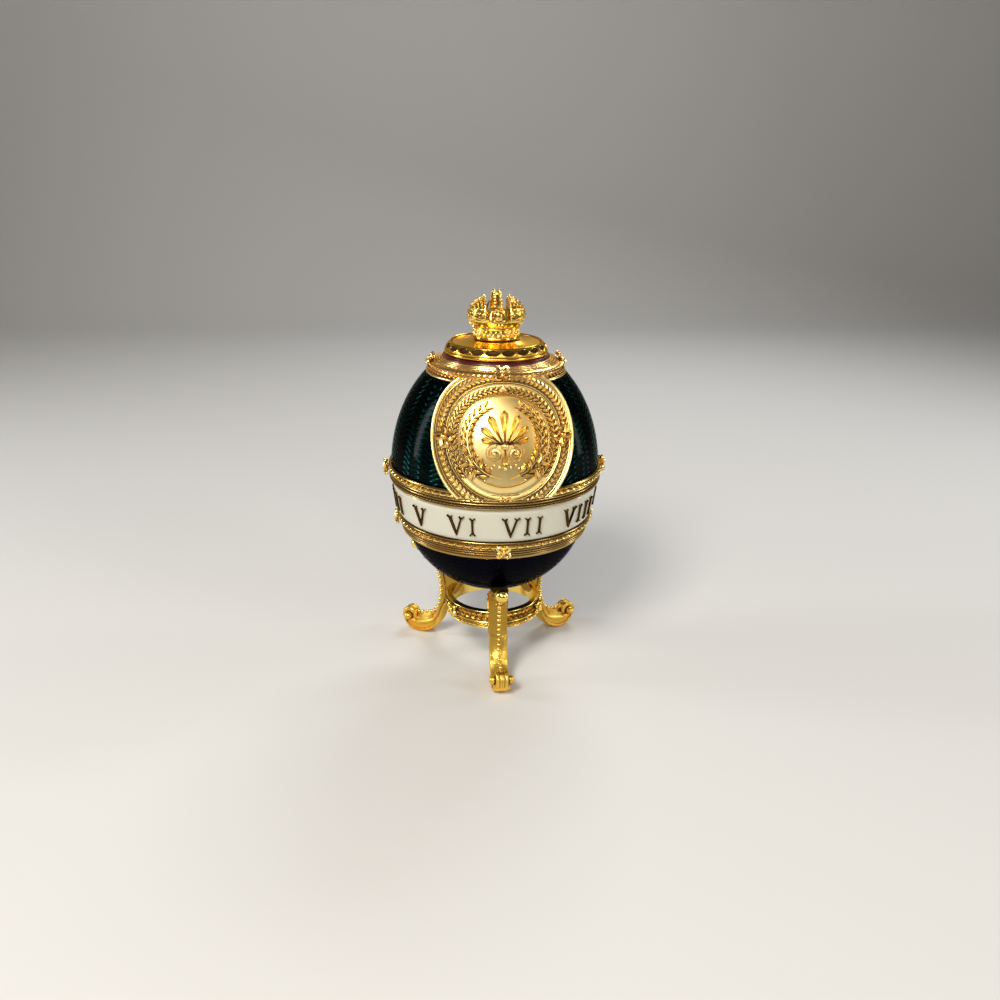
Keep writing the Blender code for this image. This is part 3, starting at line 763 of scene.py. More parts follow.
dome_low, dome_high = [corner.z for corner in span("upper_shell")]
shares = (1.0 - np.cos(np.linspace(0.0, math.pi, DOME_ROWS))) / 2.0
heights = dome_high + (dome_low - dome_high) * shares
dome_line = [(float(dome_radius(height)), height) for height in heights]
dome_line += [(float(dome_radius(height)) - WALL, height) for height in heights[::-4]]
finished("green_dome", turned(dome_line, SHELL_STEPS), green_glass, "upper_shell")

# %% [markdown]
# ## The white hour ring
#
# A ring of opaque enamel leans in towards its foot. Its edges are soft, as fired enamel draws
# back from an edge, and the face is very slightly crowned.

# %% Turn the hour ring
dial_low, dial_high = [corner.z for corner in span("dial_ring")]
DIAL_LOW_RADIUS = 27.0
DIAL_HIGH_RADIUS = 28.3
EDGE = 0.35                     # radius of its soft edges, in mm
dial_outline = []
for share in np.linspace(0.0, 1.0, 15):
    height = dial_high + (dial_low - dial_high) * share
    radius = DIAL_HIGH_RADIUS + (DIAL_LOW_RADIUS - DIAL_HIGH_RADIUS) * share
    edge = min(share, 1.0 - share) * (dial_high - dial_low)
    fall = EDGE - math.sqrt(EDGE ** 2 - max(EDGE - edge, 0.0) ** 2)
    dial_outline.append((radius - fall, height))
dial_outline += [(DIAL_LOW_RADIUS - WALL, dial_low), (DIAL_HIGH_RADIUS - WALL, dial_high)]
finished("hour_ring", turned(dial_outline, SHELL_STEPS), ivory, "dial_ring")

# %% [markdown]
# ## The hours
#
# The hours are cast letters with flared ends. Three letters are enough: I, V and X. Each is a
# few strokes lofted from one flat section, and a stroke's ends part into two horns.

# %% Model the letters
LETTER_TALL = 4.9               # height of an I, in mm
V_TALL = 5.3                    # height of a V
V_WIDE = 3.3                    # between the middles of a V's upper ends
LETTER_PROUD = 0.5              # how far the letters stand out

# across the stroke as a share of its width, and out from the ring as a share of LETTER_PROUD
STROKE_SECTION = ((-0.5, 0.3), (-0.5, -0.75), (-0.28, -1.0), (0.28, -1.0), (0.5, -0.75), (0.5, 0.3))


def stroke(foot, head, widths):
    """A raised stroke from foot to head whose width changes on the way."""
    foot, head = np.array(foot), np.array(head)
    side = np.array([head[1] - foot[1], foot[0] - head[0]]) / np.linalg.norm(head - foot)
    rings = []
    for share, width in widths:
        middle = foot + (head - foot) * share
        ring = []
        for across, proud in STROKE_SECTION:
            x, z = middle + side * across * width
            ring.append((x, proud * LETTER_PROUD, z))
        rings.append(ring)
    return lofted(rings)


HORN_LONG = 0.85                # length of the forked part of a stroke, in mm
HORN_WIDE = 0.72                # how far a horn stands to the side


def forked(foot, head, thick, fork_foot=True):
    """A stroke whose ends part into two horns."""
    foot, head = np.array(foot), np.array(head)
    way = (head - foot) / np.linalg.norm(head - foot)
    parts = []
    ends = [(head, way)] + ([(foot, -way)] if fork_foot else [])
    for end, out in ends:
        root = end - out * HORN_LONG
        for side in (-1.0, 1.0):
            tip = np.array([end[0] + side * HORN_WIDE, end[1] + 0.05 * out[1]])
            bend = (root + tip) / 2.0 + np.array([-0.16 * side, 0.0])
            parts.append(stroke(root, bend, ((0.0, 0.9 * thick), (1.0, 0.36))))
            parts.append(stroke(bend, tip, ((-0.1, 0.36), (1.0, 0.30))))
    start = foot + way * HORN_LONG if fork_foot else foot
    waist = ((-0.02, thick), (0.3, 0.85 * thick), (0.7, 0.85 * thick), (1.02, thick))
    point = ((-0.03, 0.25), (0.12, 0.8 * thick), (0.5, thick), (1.02, 0.95 * thick))
    parts.append(stroke(start, head - way * HORN_LONG, waist if fork_foot else point))
    return joined(*parts)


half = LETTER_TALL / 2.0
letter_i = forked((0.0, -half), (0.0, half), 0.62)
half_v = V_WIDE / 2.0
letter_v = joined(forked((0.05, -V_TALL / 2.0), (-half_v, V_TALL / 2.0), 0.74, False),
                  forked((0.0, -V_TALL / 2.0), (half_v, V_TALL / 2.0), 0.46, False))
letter_x = joined(forked((half_v, -half), (-half_v, half), 0.66),
                  forked((-half_v, -half), (half_v, half), 0.42))
print("faces of I, V and X:", [len(letter[1]) for letter in (letter_i, letter_v, letter_x)])

# %% [markdown]
# ## Spacing the hours
#
# The hours have equal gaps between them rather than equal centres, as a sign writer would space
# them, so VIII takes more of the ring than I. The letters lean with the ring's face, and the
# ring tree sets each one at its turn.

# %% Set out the hours
HOUR_HEIGHT = 48.85             # height of the letters' middles
STEP_I = 6.9                    # degrees from one I to the next
STEP_V = 9.1                    # degrees from the middle of a V or an X to an I beside it
HALF_I = 1.7                    # degrees from the middle of an I to its side
HALF_V = 4.9
FIRST_HOUR = -30.7              # degrees at which VI starts
HOUR_NAMES = ("VI", "VII", "VIII", "IX", "X", "XI", "XII", "I", "II", "III", "IIII", "V")

lean = math.atan2(DIAL_HIGH_RADIUS - DIAL_LOW_RADIUS, dial_high - dial_low)
letters = {"I": (letter_i, HALF_I), "V": (letter_v, HALF_V), "X": (letter_x, HALF_V)}
turns = {"I": [], "V": [], "X": []}


def step_after(first, second):
    return STEP_I if first == second else STEP_V


widths = []
for name in HOUR_NAMES:
    steps = map(step_after, name, name[1:])
    widths.append(letters[name[0]][1] + sum(steps) + letters[name[-1]][1])
gap = (360.0 - sum(widths)) / len(HOUR_NAMES)
start = FIRST_HOUR
for name, width in zip(HOUR_NAMES, widths):
    turn = start + letters[name[0]][1]
    for first, second in zip(name, name[1:] + " "):
        turns[first].append(turn)
        turn += step_after(first, second)
    start += width + gap
print("gap between hours in degrees:", round(gap, 2))
hour_radius = DIAL_LOW_RADIUS + (HOUR_HEIGHT - dial_low) * math.tan(lean)
hours = []
for name, (letter, _) in letters.items():
    leaning = placed(letter, Matrix.Rotation(lean, 4, "X"))
    hours += [set_round(leaning, 1, hour_radius, HOUR_HEIGHT, turn, 0.0) for turn in turns[name]]
finished("hours", joined(*hours), hour_gilt)

# %% [markdown]
# ## Ornament that is used again and again
#
# A pointed leaf with a sunk midrib, a short strand of rope, and a bow of crossed ribbons with a
# knot: the bands, collar, plaque and stand all use them. Each has only a few dozen faces,
# because hundreds of copies are set out.

# %% Leaf, strand and bow
def leaf(length, width, height, curl=0.0):
    """A leaf on the XY plane that starts at the origin and points along X."""
    rings = []
    for share in (0.0, 0.12, 0.35, 0.6, 0.82, 1.0):
        half_width = 0.5 * width * max(math.sin(math.pi * min(share * 0.93 + 0.05, 1.0)), 0.08)
        rise = height * (0.35 + 0.65 * math.sin(math.pi * (0.15 + 0.7 * share)))
        x = length * share
        y = curl * share ** 2
        rings.append([(x, y - half_width, -0.25), (x, y - half_width * 0.55, rise),
                      (x, y, rise * 0.55), (x, y + half_width * 0.55, rise),
                      (x, y + half_width, -0.25)])
    return lofted(rings)


def strand(length, thick, proud, slant):
    """A rounded bar with slanting ends that bulges towards -Y, for a row round the axis."""
    angles = np.radians(np.linspace(-90.0, 90.0, 6))
    rings = []
    for along, size in ((-0.5, 0.75), (-0.42, 1.0), (0.0, 1.06), (0.42, 1.0), (0.5, 0.75)):
        across = np.sin(angles) * 0.5 * thick * size
        out = 0.2 - np.cos(angles) * (proud + 0.2) * size
        rings.append(np.stack([along * length + across * slant, out, across], 1))
    return lofted(rings)


def bow(wide, depth):
    """Two crossed ribbons with looped ends and a knot. It faces -Y, its back at the origin."""
    parts = []
    for slope in (40.0, 140.0, 220.0, 320.0):
        turn = spin(slope, "Y")
        loop = []
        for share in np.linspace(0.0, 1.0, 15)[:-1]:
            angle = 2.0 * math.pi * share
            loop.append((wide * (0.29 + 0.19 * math.cos(angle)),
                         -depth * (0.55 + 0.12 * math.cos(angle)), wide * 0.13 * math.sin(angle)))
        parts.append(placed(tube(loop, 0.11 * wide, 6, closed=True), turn))
        parts.append(placed(bead(0.09 * wide, (1.3, 1.0, 1.0), 8),
                            turn @ shift(0.47 * wide, -0.35 * depth, 0.0)))
    knot = bead(0.15 * wide, (1.0, 0.95, 1.15))
    parts.append(placed(knot, shift(0.0, -0.72 * depth, 0.0)))
    return joined(*parts)


print("faces of a leaf:", len(leaf(1.0, 0.5, 0.2)[1]), "and of a bow:", len(bow(4.0, 1.5)[1]))


# %% [markdown]
# ## The two gilt bands
#
# Each band is a stack of reeds round the egg. The reeds are one turned outline, written as a row
# of mouldings down the outside. One thin reed is twisted. A ribbon, gilt brighter than the reeds
# as a painted highlight, is wound over a wide one, so that it breaks up into short slanting bars,
# and is tied in bows at the quarters. The plaque takes the upper band's fourth bow. Bars and
# strands sink a little into the reed below.

# %% Outline a band and dress it
BAND_STEPS = 288
RIBBON = strand(1.8, 0.80, 0.42, 0.5)
RIBBON_PITCH = 2.3              # distance between two bars of the ribbon, in mm
TWIST = strand(0.95, 0.40, 0.24, 1.3)
TWIST_PITCH = 1.05


def band_outline(top, bottom, high_radius, low_radius, wall, rows):
    """Closed outline of a band: mouldings down the outside, plain inside."""
    total = sum(run for run, _, _ in rows)
    outline = []
    for along, out in contour(rows):
        share = along / total
        radius = high_radius + (low_radius - high_radius) * share
        outline.append((radius + out, top + (bottom - top) * share))
    return outline + [(low_radius - wall, bottom), (high_radius - wall, top)]


def rope(radius, height, pitch, shape):
    """A row of bars or strands all round, at about a pitch in mm."""
    return set_round(shape, round(2.0 * math.pi * radius / pitch), radius, height)


def band(node, outline, twist_at, ribbon_at, bows):
    """A band's reeds and, as a piece of its own, its ribbon. Places are (radius, height)."""
    reeds = joined(turned(outline, BAND_STEPS), rope(*twist_at, TWIST_PITCH, TWIST))
    ribbon = joined(rope(*ribbon_at, RIBBON_PITCH, RIBBON), bows)
    finished(node + "_reeds", reeds, band_gilt, node)
    # The ribbon and bows are gilt brighter than the reeds, as a painted highlight.
    finished(node + "_ribbon", ribbon, pearl_gilt)


band("upper_band", band_outline(58.6, 54.0, 28.95, 28.75, 2.2, [
    (0.95, 0.0, 0.3), (0.14, 0.0, -0.22), (0.85, 0.0, -0.04), (0.16, 0.0, -0.24), (0.6, 0.0, 0.2),
    (0.2, 0.0, -0.28), (0.5, 0.0, 0.2), (0.18, 0.0, -0.26), (0.4, 0.0, 0.1), (0.16, 0.0, -0.22),
    (0.46, -0.05, 0.18)]),
    (28.9, 54.82), (29.0, 57.08), set_round(bow(4.4, 1.7), 3, 29.15, 56.7, 90.0, 90.0))
band("lower_band", band_outline(44.3, 39.3, 27.0, 25.6, 1.8, [
    (0.35, 0.0, 0.16), (0.55, 0.0, -0.3), (0.8, 0.0, -0.04), (0.14, 0.0, -0.22), (0.5, 0.0, 0.2),
    (0.16, 0.0, -0.24), (0.45, 0.0, 0.2), (0.16, 0.0, -0.24), (0.45, 0.0, 0.2), (0.14, 0.0, -0.22),
    (0.8, -0.05, 0.22)]),
    (26.38, 42.03), (26.62, 42.86), set_round(bow(4.0, 1.55), 4, 26.5, 42.0))

# %% [markdown]
# ## The plaque: its plate
#
# The plaque is a cast disc that hugs the dome. It is drawn flat first, as on paper, and wrapped
# on the dome at the end. The plate is a polar grid: one row of mouldings from the middle out
# gives the smooth field, a thin double line, a hollow band for a garland, a double reed, a flat
# track for a leaf border, and a bright plain rim.

# %% Draw the plate flat
PLATE_STEPS = 400
PLATE_BACK = 0.05               # height of the plate's back over the drawing, in mm
FIELD_RADIUS = 10.9
FIELD_LEVEL = 0.62              # height of the middle of the field
FIELD_DISH = 0.13               # how much higher its edge is
PLATE_ROWS = [
    (0.26, 0.0, 0.26), (0.14, 0.0, 0.0), (0.20, 0.0, 0.20),
    (2.65, 0.0, -0.34),
    (0.40, 0.0, 0.34), (0.08, 0.0, -0.1), (0.42, 0.0, 0.34),
    (0.10, 0.0, -0.12), (2.30, 0.0, -0.05), (0.14, 0.0, -0.12),
    (0.42, 0.0, 0.34), (0.34, 0.0, -0.32), (0.95, 0.0, 0.50), (0.10, -0.7, 0.0),
]
plate_line = [(0.02, FIELD_LEVEL)]
for radius in np.linspace(0.6, FIELD_RADIUS, 22):
    plate_line.append((radius, FIELD_LEVEL + FIELD_DISH * (radius / FIELD_RADIUS) ** 2))
plate_line += contour(PLATE_ROWS, (FIELD_RADIUS, FIELD_LEVEL + FIELD_DISH))[1:]
plate_radius = plate_line[-1][0]
plate_line += [(share * plate_radius, PLATE_BACK) for share in (1.0, 0.9, 0.6, 0.3)]
plate_line.append((0.02, PLATE_BACK))
plate = turned(plate_line, PLATE_STEPS)
print("plate radius along the dome in mm:", round(plate_radius, 2))

# %% [markdown]
# ## The plaque: leaves, garland and wreath
#
# Three rows of leaves run up both sides from the foot: a close border of paired leaves, a looser
# garland with berries in the hollow band, and a laurel wreath that stays open at the top. Each
# is one sprig, set along half a circle by the path tree and mirrored to the other side. Larger
# leaves fill the foot of the wreath.

# %% Set out the leaf rows
UPRIGHT = (0.0, 0.0, 1.0)
BORDER_RADIUS = 16.25
GARLAND_RADIUS = 12.95
WREATH_RADIUS = 9.15


def circle_path(radius, first, last, steps=60):
    """Points on a circle between two directions in degrees; 0 is right and 90 is up."""
    angles = np.radians(np.linspace(first, last, steps))
    return np.stack([radius * np.cos(angles), radius * np.sin(angles), np.zeros(steps)], 1)


def sprig(length, width, height, spread, berry=0.0):
    """A pair of leaves that part from a stem, with or without a berry on each side."""
    parts = []
    for side in (-1.0, 1.0):
        foot = shift(0.0, 0.12 * side * length, 0.0) @ spin(spread * side, "Z")
        parts.append(placed(leaf(length, width, height, -0.12 * side * length), foot))
        if berry:
            aside = 0.72 * side * length * math.sin(math.radians(spread + 25.0))
            parts.append(placed(bead(berry, (1.0, 1.0, 0.9), 8), shift(0.15 * length, aside, 0.1)))
    return joined(*parts)


def leaf_row(shape, radius, first, last, *spacing):
    """A row of sprigs along part of a circle on the drawing."""
    return set_along(shape, circle_path(radius, first, last), UPRIGHT, *spacing)


border = leaf_row(sprig(1.75, 0.78, 0.5, 36.0), BORDER_RADIUS, -87.0, 88.0, 38)
garland = leaf_row(sprig(1.75, 0.85, 0.55, 33.0, 0.26), GARLAND_RADIUS, -44.0, 84.0, 22, 1.15, 0.85)
garland_stem = tube(circle_path(GARLAND_RADIUS, -44.0, 84.0, 50), 0.16, 6)
wreath = leaf_row(sprig(2.5, 1.15, 0.75, 31.0, 0.30), WREATH_RADIUS, -66.0, 60.0, 12, 1.15, 0.8)
wreath_stem = tube(circle_path(WREATH_RADIUS, -84.0, 63.0, 40) + (0.0, 0.0, 0.15),
                   np.linspace(0.30, 0.16, 40), 6)
rows = [lifted(border, 0.75), lifted(garland, 0.55), lifted(joined(wreath, wreath_stem), 0.68),
        lifted(garland_stem, 0.6)]
big_leaf = leaf(3.4, 1.5, 0.8, 0.3)
for turn, x, y in ((-260.0, 6.2, -7.4), (60.0, 7.6, -6.2), (-80.0, 7.2, -6.6), (-30.0, 8.4, -5.4)):
    rows.append(placed(big_leaf, shift(x, y, 0.7) @ spin(turn, "Z")))
print("leaf rows:", len(rows))

# %% [markdown]
# ## The plaque: the palmette in its middle
#
# The field carries a palmette, the fan of leaves that has filled round fields since antiquity.
# Seven scooped petals rise from two scrolled volutes, with a pendant leaf and a few beads below.
# Each petal is a loft whose edges stand higher than its middle, so that it reads as a scoop.

# %% Model the palmette
PALMETTE_FOOT = -0.9            # height of the point from which the petals spread
PETAL_SPREAD = 25.0             # degrees between two petals
PETAL_LENGTHS = (6.4, 5.9, 4.9, 3.6)
PALMETTE_SIZE = 1.3             # how much larger than drawn it is cast


def petal(length, width):
    """A scooped petal along +Y, narrow at its foot and round at its tip."""
    rings = []
    for share in np.linspace(0.0, 1.0, 13):
        swell = 0.16 + 0.84 * math.sin(math.pi * share ** 1.6 * 0.62) ** 1.4
        tip = math.sqrt(max(1.0 - max((share - 0.78) / 0.22, 0.0) ** 2, 0.0))
        half_width = 0.5 * width * max(swell * tip, 0.06)
        rise = 0.35 + 0.30 * share
        y = length * share
        edge = [(1.0, -0.2), (0.93, 0.5 * rise), (0.62, rise)]
        section = [(-across, up) for across, up in edge] + [(0.0, rise * 0.35)] + edge[::-1]
        rings.append([(across * half_width, y, up) for across, up in section])
    return lofted(rings)


def volute(radius, windings, thick):
    """A scroll that winds in from the origin to its eye, with a bead in the eye."""
    line, sizes = [], []
    for share in np.linspace(0.0, 1.0, 34):
        angle = math.radians(100.0 - 360.0 * windings * share)
        reach = radius * (1.0 - 0.80 * share)
        x, y = radius * 0.95 + reach * math.cos(angle), reach * math.sin(angle) - radius
        line.append((x, y, 0.15))
        sizes.append(thick * (1.0 - 0.45 * share))
    scroll = tube(line, sizes, 7)
    eye = placed(bead(0.36, (1.0, 1.0, 0.8), 8), shift(radius * 0.95, -radius, 0.25))
    return joined(scroll, eye)


fan = []
for index, length in enumerate(PETAL_LENGTHS):
    for side in ((1.0,) if index == 0 else (-1.0, 1.0)):
        place = shift(side * 0.30 * index, PALMETTE_FOOT, 0.0)
        turn = spin(-side * PETAL_SPREAD * index, "Z")
        fan.append(placed(petal(length, 1.75 - 0.12 * index), place @ turn))
fan.append(both_sides(placed(volute(1.6, 1.4, 0.40), shift(0.40, PALMETTE_FOOT - 0.1, 0.0))))
fan.append(placed(petal(3.1, 1.6), shift(0.0, PALMETTE_FOOT - 0.8, 0.0) @ spin(180.0, "Z")))
for x, y, size in ((0.0, -0.35, 0.70), (0.0, -4.5, 0.40), (1.05, -4.2, 0.32), (-1.05, -4.2, 0.32),
                   (2.0, -3.85, 0.25), (-2.0, -3.85, 0.25)):
    fan.append(placed(bead(size, (1.0, 1.0, 0.85)), shift(x, PALMETTE_FOOT + y, 0.3)))
fan_points, fan_faces = joined(*fan)
palmette = (fan_points * PALMETTE_SIZE + (0.0, 0.3, 0.55), fan_faces)
print("parts of the palmette:", len(fan))

# %% [markdown]
# ## The plaque: knots, wrapping and trimming
#
# Ribbon knots cover the joins at the two sides, at the foot and at the top. Then the whole
# drawing is wrapped on the dome, and level cuts trim it where the band and the collar take over.

# %% Add the knots, wrap and trim
KNOT_LEVEL = 0.8                # height of the knots over the drawing, in mm
TRIM_LOW = 56.9                 # heights of the two level cuts
TRIM_HIGH = 84.9


def flat_bow(size, depth, x, y, turn=0.0):
    """A bow lying on the drawing."""
    place = shift(x, y, KNOT_LEVEL) @ spin(turn, "Z")
    return placed(bow(size, depth), place @ spin(-90.0, "X"))


def trimmed(shape, height, keep_above):
    """A closed shape cut level at a height, with the cut filled."""
    mesh = bpy.data.meshes.new("trim")
    mesh.from_pydata(shape[0].tolist(), [], shape[1])
    work = bmesh.new()
    work.from_mesh(mesh)
    bpy.data.meshes.remove(mesh)
    everything = list(work.verts) + list(work.edges) + list(work.faces)
    cut = bmesh.ops.bisect_plane(work, geom=everything, dist=1e-5, plane_co=(0.0, 0.0, height),
                                 plane_no=(0.0, 0.0, -1.0 if keep_above else 1.0), clear_outer=True)
    rim = [edge for edge in cut["geom_cut"] if isinstance(edge, bmesh.types.BMEdge)]
    bmesh.ops.holes_fill(work, edges=rim, sides=0)
    return read_back(work)


knots = joined(*[flat_bow(4.8, 1.3, side * 14.9, 0.1, 45.0) for side in (-1.0, 1.0)],
               flat_bow(3.6, 1.1, 0.0, 16.5), flat_bow(3.2, 1.1, 0.0, -15.0))
plaque = wrapped(joined(plate, *map(both_sides, rows), palmette))
plaque = trimmed(trimmed(plaque, TRIM_LOW, True), TRIM_HIGH, False)
finished("plaque", plaque, pale_gilt, "medallion")
finished("plaque_knots", trimmed(wrapped(knots), TRIM_LOW, True), copper_gilt)

# %% [markdown]
# ## The collar
#
# A stepped ring closes the dome. From its lip it goes in to a deep dark groove, out over a fat
# roll of laurel, and up a slope of fine reeds to the seat of the lid, where a thin dark red line
# shows. Bows sit on the roll at each quarter.

# %% Turn the collar and dress it
COLLAR_MOUTH = 11.6
SEAT = 87.6                     # height of the seat of the lid
SLOPE_START = (14.5, 87.35)     # radius and height of the upper end of the slope
SLOPE_ROWS = [(0.45, 0.0, 0.16), (0.12, 0.0, -0.08), (0.55, 0.0, 0.2), (0.12, 0.0, -0.1),
              (0.6, 0.0, 0.22), (0.15, 0.0, -0.12), (0.35, 0.0, 0.08)]


def tilted(shape, elevation):
    """A shape drawn on XY turned to face out from the axis, raised by some degrees."""
    return placed(shape, spin(90.0 - elevation, "X"))


collar_line = [(COLLAR_MOUTH, SEAT), (13.9, SEAT), SLOPE_START]
slope_total = sum(run for run, _, _ in SLOPE_ROWS)
for along, out in contour(SLOPE_ROWS)[1:]:
    share = along / slope_total
    collar_line.append((SLOPE_START[0] + 2.0 * share + 0.45 * out,
                        SLOPE_START[1] - 0.95 * share + 0.9 * out))
collar_line += [*arc(16.65, 85.1, 1.25, 1.25, 62.0, -38.0, 12),
                (17.25, 84.15), (17.2, 83.95), (17.9, 84.0), (18.3, 84.05),
                *arc(18.33, 83.66, 0.42, 0.42, 80.0, -70.0, 9),
                (17.2, 83.3), (13.4, 85.2), (COLLAR_MOUTH, 86.0)]
laurel = set_round(tilted(sprig(1.55, 0.72, 0.34, 34.0), 12.0), 74, 17.9, 85.05)
upper_leaves = set_round(tilted(leaf(1.3, 0.55, 0.25), 58.0), 72, 16.45, 86.42)
bows = set_round(placed(bow(4.0, 1.3), spin(-38.0, "X")), 4, 16.9, 86.3)
finished("collar_mouldings", joined(turned(collar_line, 240), laurel, upper_leaves, bows),
         rose_gilt, "collar")

garnet_line = [(13.0, 87.5), (13.05, 88.05), (13.6, 88.2), (14.05, 88.0), (14.35, 87.6),
               (14.4, 87.2), (13.9, 87.2)]
finished("garnet_line", turned(garnet_line, 200), garnet)

# %% [markdown]
# ## The lid
#
# The lid is turned: a plug that drops into the collar, a round lip, and a flat top that sweeps
# up to the crown. Its sloping edge is cut with a row of pointed lenses. They are made by
# pressing the outline in as it goes round, deepest in the middle of each lens. An attribute
# then marks the points inside the lenses, where the gilding is painted nearly black as the
# shade and dark reflection in them.

# %% Turn the lid and press its lenses
LENS_COUNT = 20
LENS_STEPS = 24                 # points across each lens
LENS_DEEP = 0.62
LENS_LIP = 0.10                 # how far the lip round a lens stands up
LENS_SHARE = 0.94               # part of each step that a lens fills
LENS_HALF = 0.46                # half a lens's height as a part of the slope
LENS_WALL = 0.09                # how wide its steep wall is, as a part of the slope
LIP_WIDE = 0.06
LENS_SHADE_FROM = 0.03               # depth inside a lens from which it is painted dark as shade
FACE_ROWS = 38
SLOPE_TOP = 91.15
SLOPE_TALL = 1.5                # height of the sloping edge, in mm
SLOPE_RADIUS = 12.5             # radius of its upper end

lid_high = span("lid")[1].z
sweep_up = [(6.9, 91.85), (7.6, 91.55), (8.8, 91.25), (10.6, 91.1), (11.55, 91.1)]
lid_line = [(0.01, lid_high), (4.0, lid_high), (6.5, lid_high), *smooth_line(sweep_up, 4),
            *contour([(0.24, 0.0, -0.2), (0.62, 0.04, 0.34)], (11.62, 91.1), 6)]
face_first = len(lid_line)
for share in np.linspace(0.0, 1.0, FACE_ROWS):
    swell = 0.10 * math.sin(math.pi * share)
    lid_line.append((SLOPE_RADIUS + share + swell, SLOPE_TOP - SLOPE_TALL * share))
lid_line += [(13.42, 89.6), (13.38, 89.45), *arc(13.26, 88.82, 0.53, 0.53, 75.0, -80.0, 10),
             (12.9, 88.2), (11.2, 88.1), (11.2, 85.75), (10.9, 85.7), (9.7, 85.7), (9.7, 89.5),
             (0.01, 89.9)]


def lens_depth(turns, share):
    """How deep inside a lens a point of the slope is: 0 on its outline and less outside."""
    step = 2.0 * math.pi / LENS_COUNT
    across = ((turns / step) % 1.0 - 0.5) * 2.0 / LENS_SHARE
    return LENS_HALF * np.clip(1.0 - across ** 2, 0.0, None) - abs(share - 0.5)


def lens_relief(turns, index):
    """How far the sloping edge is pressed in, at each turn."""
    share = (index - face_first) / (FACE_ROWS - 1)
    if not 0.0 <= share <= 1.0:
        return 0.0
    edge = lens_depth(turns, share)
    scoop = 0.6 + 0.4 * np.clip(edge / LENS_HALF, 0.0, 1.0)
    scoop = np.clip(edge / LENS_WALL, 0.0, 1.0) * scoop
    lip = np.clip(1.0 - abs(edge + 0.02) / LIP_WIDE, 0.0, 1.0) * (abs(share - 0.5) < LENS_HALF)
    return LENS_LIP * lip - LENS_DEEP * scoop


lid = turned(lid_line, LENS_COUNT * LENS_STEPS, lens_relief)
lid = finished("lid", lid, lid_gilt, "lid").data
x, y, z = np.array([vertex.co for vertex in lid.vertices]).T / MM
# Points deep inside a lens are marked for a painted shade.
toned = lens_depth(np.arctan2(x, -y), (SLOPE_TOP - z) / SLOPE_TALL) > LENS_SHADE_FROM
toned &= np.hypot(x, y) > SLOPE_RADIUS - 1.0
lid.attributes.new("toned", "FLOAT", "POINT").data.foreach_set("value", toned.astype(np.float32))
print("points toned in the lenses:", int(toned.sum()))

# %% [markdown]
# ## The crown: circlet and cup
#
# The crown is a tiny casting: a circlet with beads and lozenges, a flared cup with a smooth rim,
# a cap in two halves that are covered with grains and edged with pearls, and a beaded arch from
# front to back over a jewel. The cup is turned from one outline, and its rim is a tube that
# rises at the sides.

# %% Turn the circlet and cup
RIM_LIFT = 1.7                  # how much higher the cup's rim is at the sides, in mm
RIM_HALF = (7.45, 7.0)          # the rim's half width and half depth
CIRCLET_RADIUS = 5.95
CIRCLET_BEADS = 28
FOOT, crown_high = [corner.z for corner in span("crown")]
cup_line = [(0.01, 0.0), (6.0, 0.0), *arc(5.95, 0.45, 0.42, 0.42, -80.0, 80.0, 8),
            (5.75, 1.0), (5.75, 2.6), *arc(5.7, 2.85, 0.25, 0.22, -80.0, 80.0, 6),
            *smooth_line([(5.75, 3.15), (6.05, 3.45), (6.6, 4.2), (6.95, 5.1), (6.4, 5.3)], 4),
            *smooth_line([(5.6, 5.5), (4.9, 6.4), (3.4, 7.1), (1.5, 7.5), (0.01, 7.6)], 4)]
crown_parts = [lifted(turned(cup_line[::-1], 120), FOOT)]
turns = np.linspace(0.0, 2.0 * math.pi, 97)[:-1]
rim_line = np.stack([RIM_HALF[0] * np.sin(turns), -RIM_HALF[1] * np.cos(turns),
                     FOOT + 4.95 + RIM_LIFT * np.sin(turns) ** 2], 1)
crown_parts.append(tube(rim_line, 0.27, 8, closed=True))
lozenge = bead(1.0, (0.55, 0.22, 0.34), 6)
pearls = [set_round(bead(0.42, steps=8), CIRCLET_BEADS, CIRCLET_RADIUS, FOOT + 1.28),
          set_round(bead(0.36, steps=8), CIRCLET_BEADS, CIRCLET_RADIUS - 0.05, FOOT + 2.28, 6.4),
          set_round(lozenge, CIRCLET_BEADS // 2, CIRCLET_RADIUS, FOOT + 1.8, 3.2)]
print("the crown stands at", round(FOOT, 2), "mm")

# %% [markdown]
# ## The crown: cap
#
# Each half of the cap is a squashed ball cut off by an upright plane. Rows of grains follow its
# curve from the cut outwards, and a string of pearls runs along the cut.

# %% Model the two halves of the cap with their pearls
CAP_MIDDLE = np.array([0.0, 0.0, FOOT + 6.1])
CAP_SIZE = np.array([7.35, 6.1, 5.0])
CAP_CUT = 3.25                  # distance of the cut face from the middle, in mm
PAVE_PITCH = 0.98               # distance between the grains that cover a half, in mm


def cap_row(depth, last, steps=40):
    """A line over the right half at a depth from -1 to 1, from its cut edge outwards and down."""
    ring = math.sqrt(1.0 - depth ** 2)
    first = math.acos(CAP_CUT / (CAP_SIZE[0] * ring))
    angles = np.linspace(first, math.radians(last), steps)
    unit = np.stack([ring * np.cos(angles), np.full(steps, depth), ring * np.sin(angles)], 1)
    return CAP_MIDDLE + unit * CAP_SIZE, unit / CAP_SIZE


def length_of(line):
    return np.linalg.norm(np.diff(line, axis=0), axis=1).sum()


def grains(size, pitch, line, facing):
    """A row of beads along a line at about a pitch."""
    return set_along(bead(size, steps=7), line, facing, max(round(length_of(line) / pitch), 2))


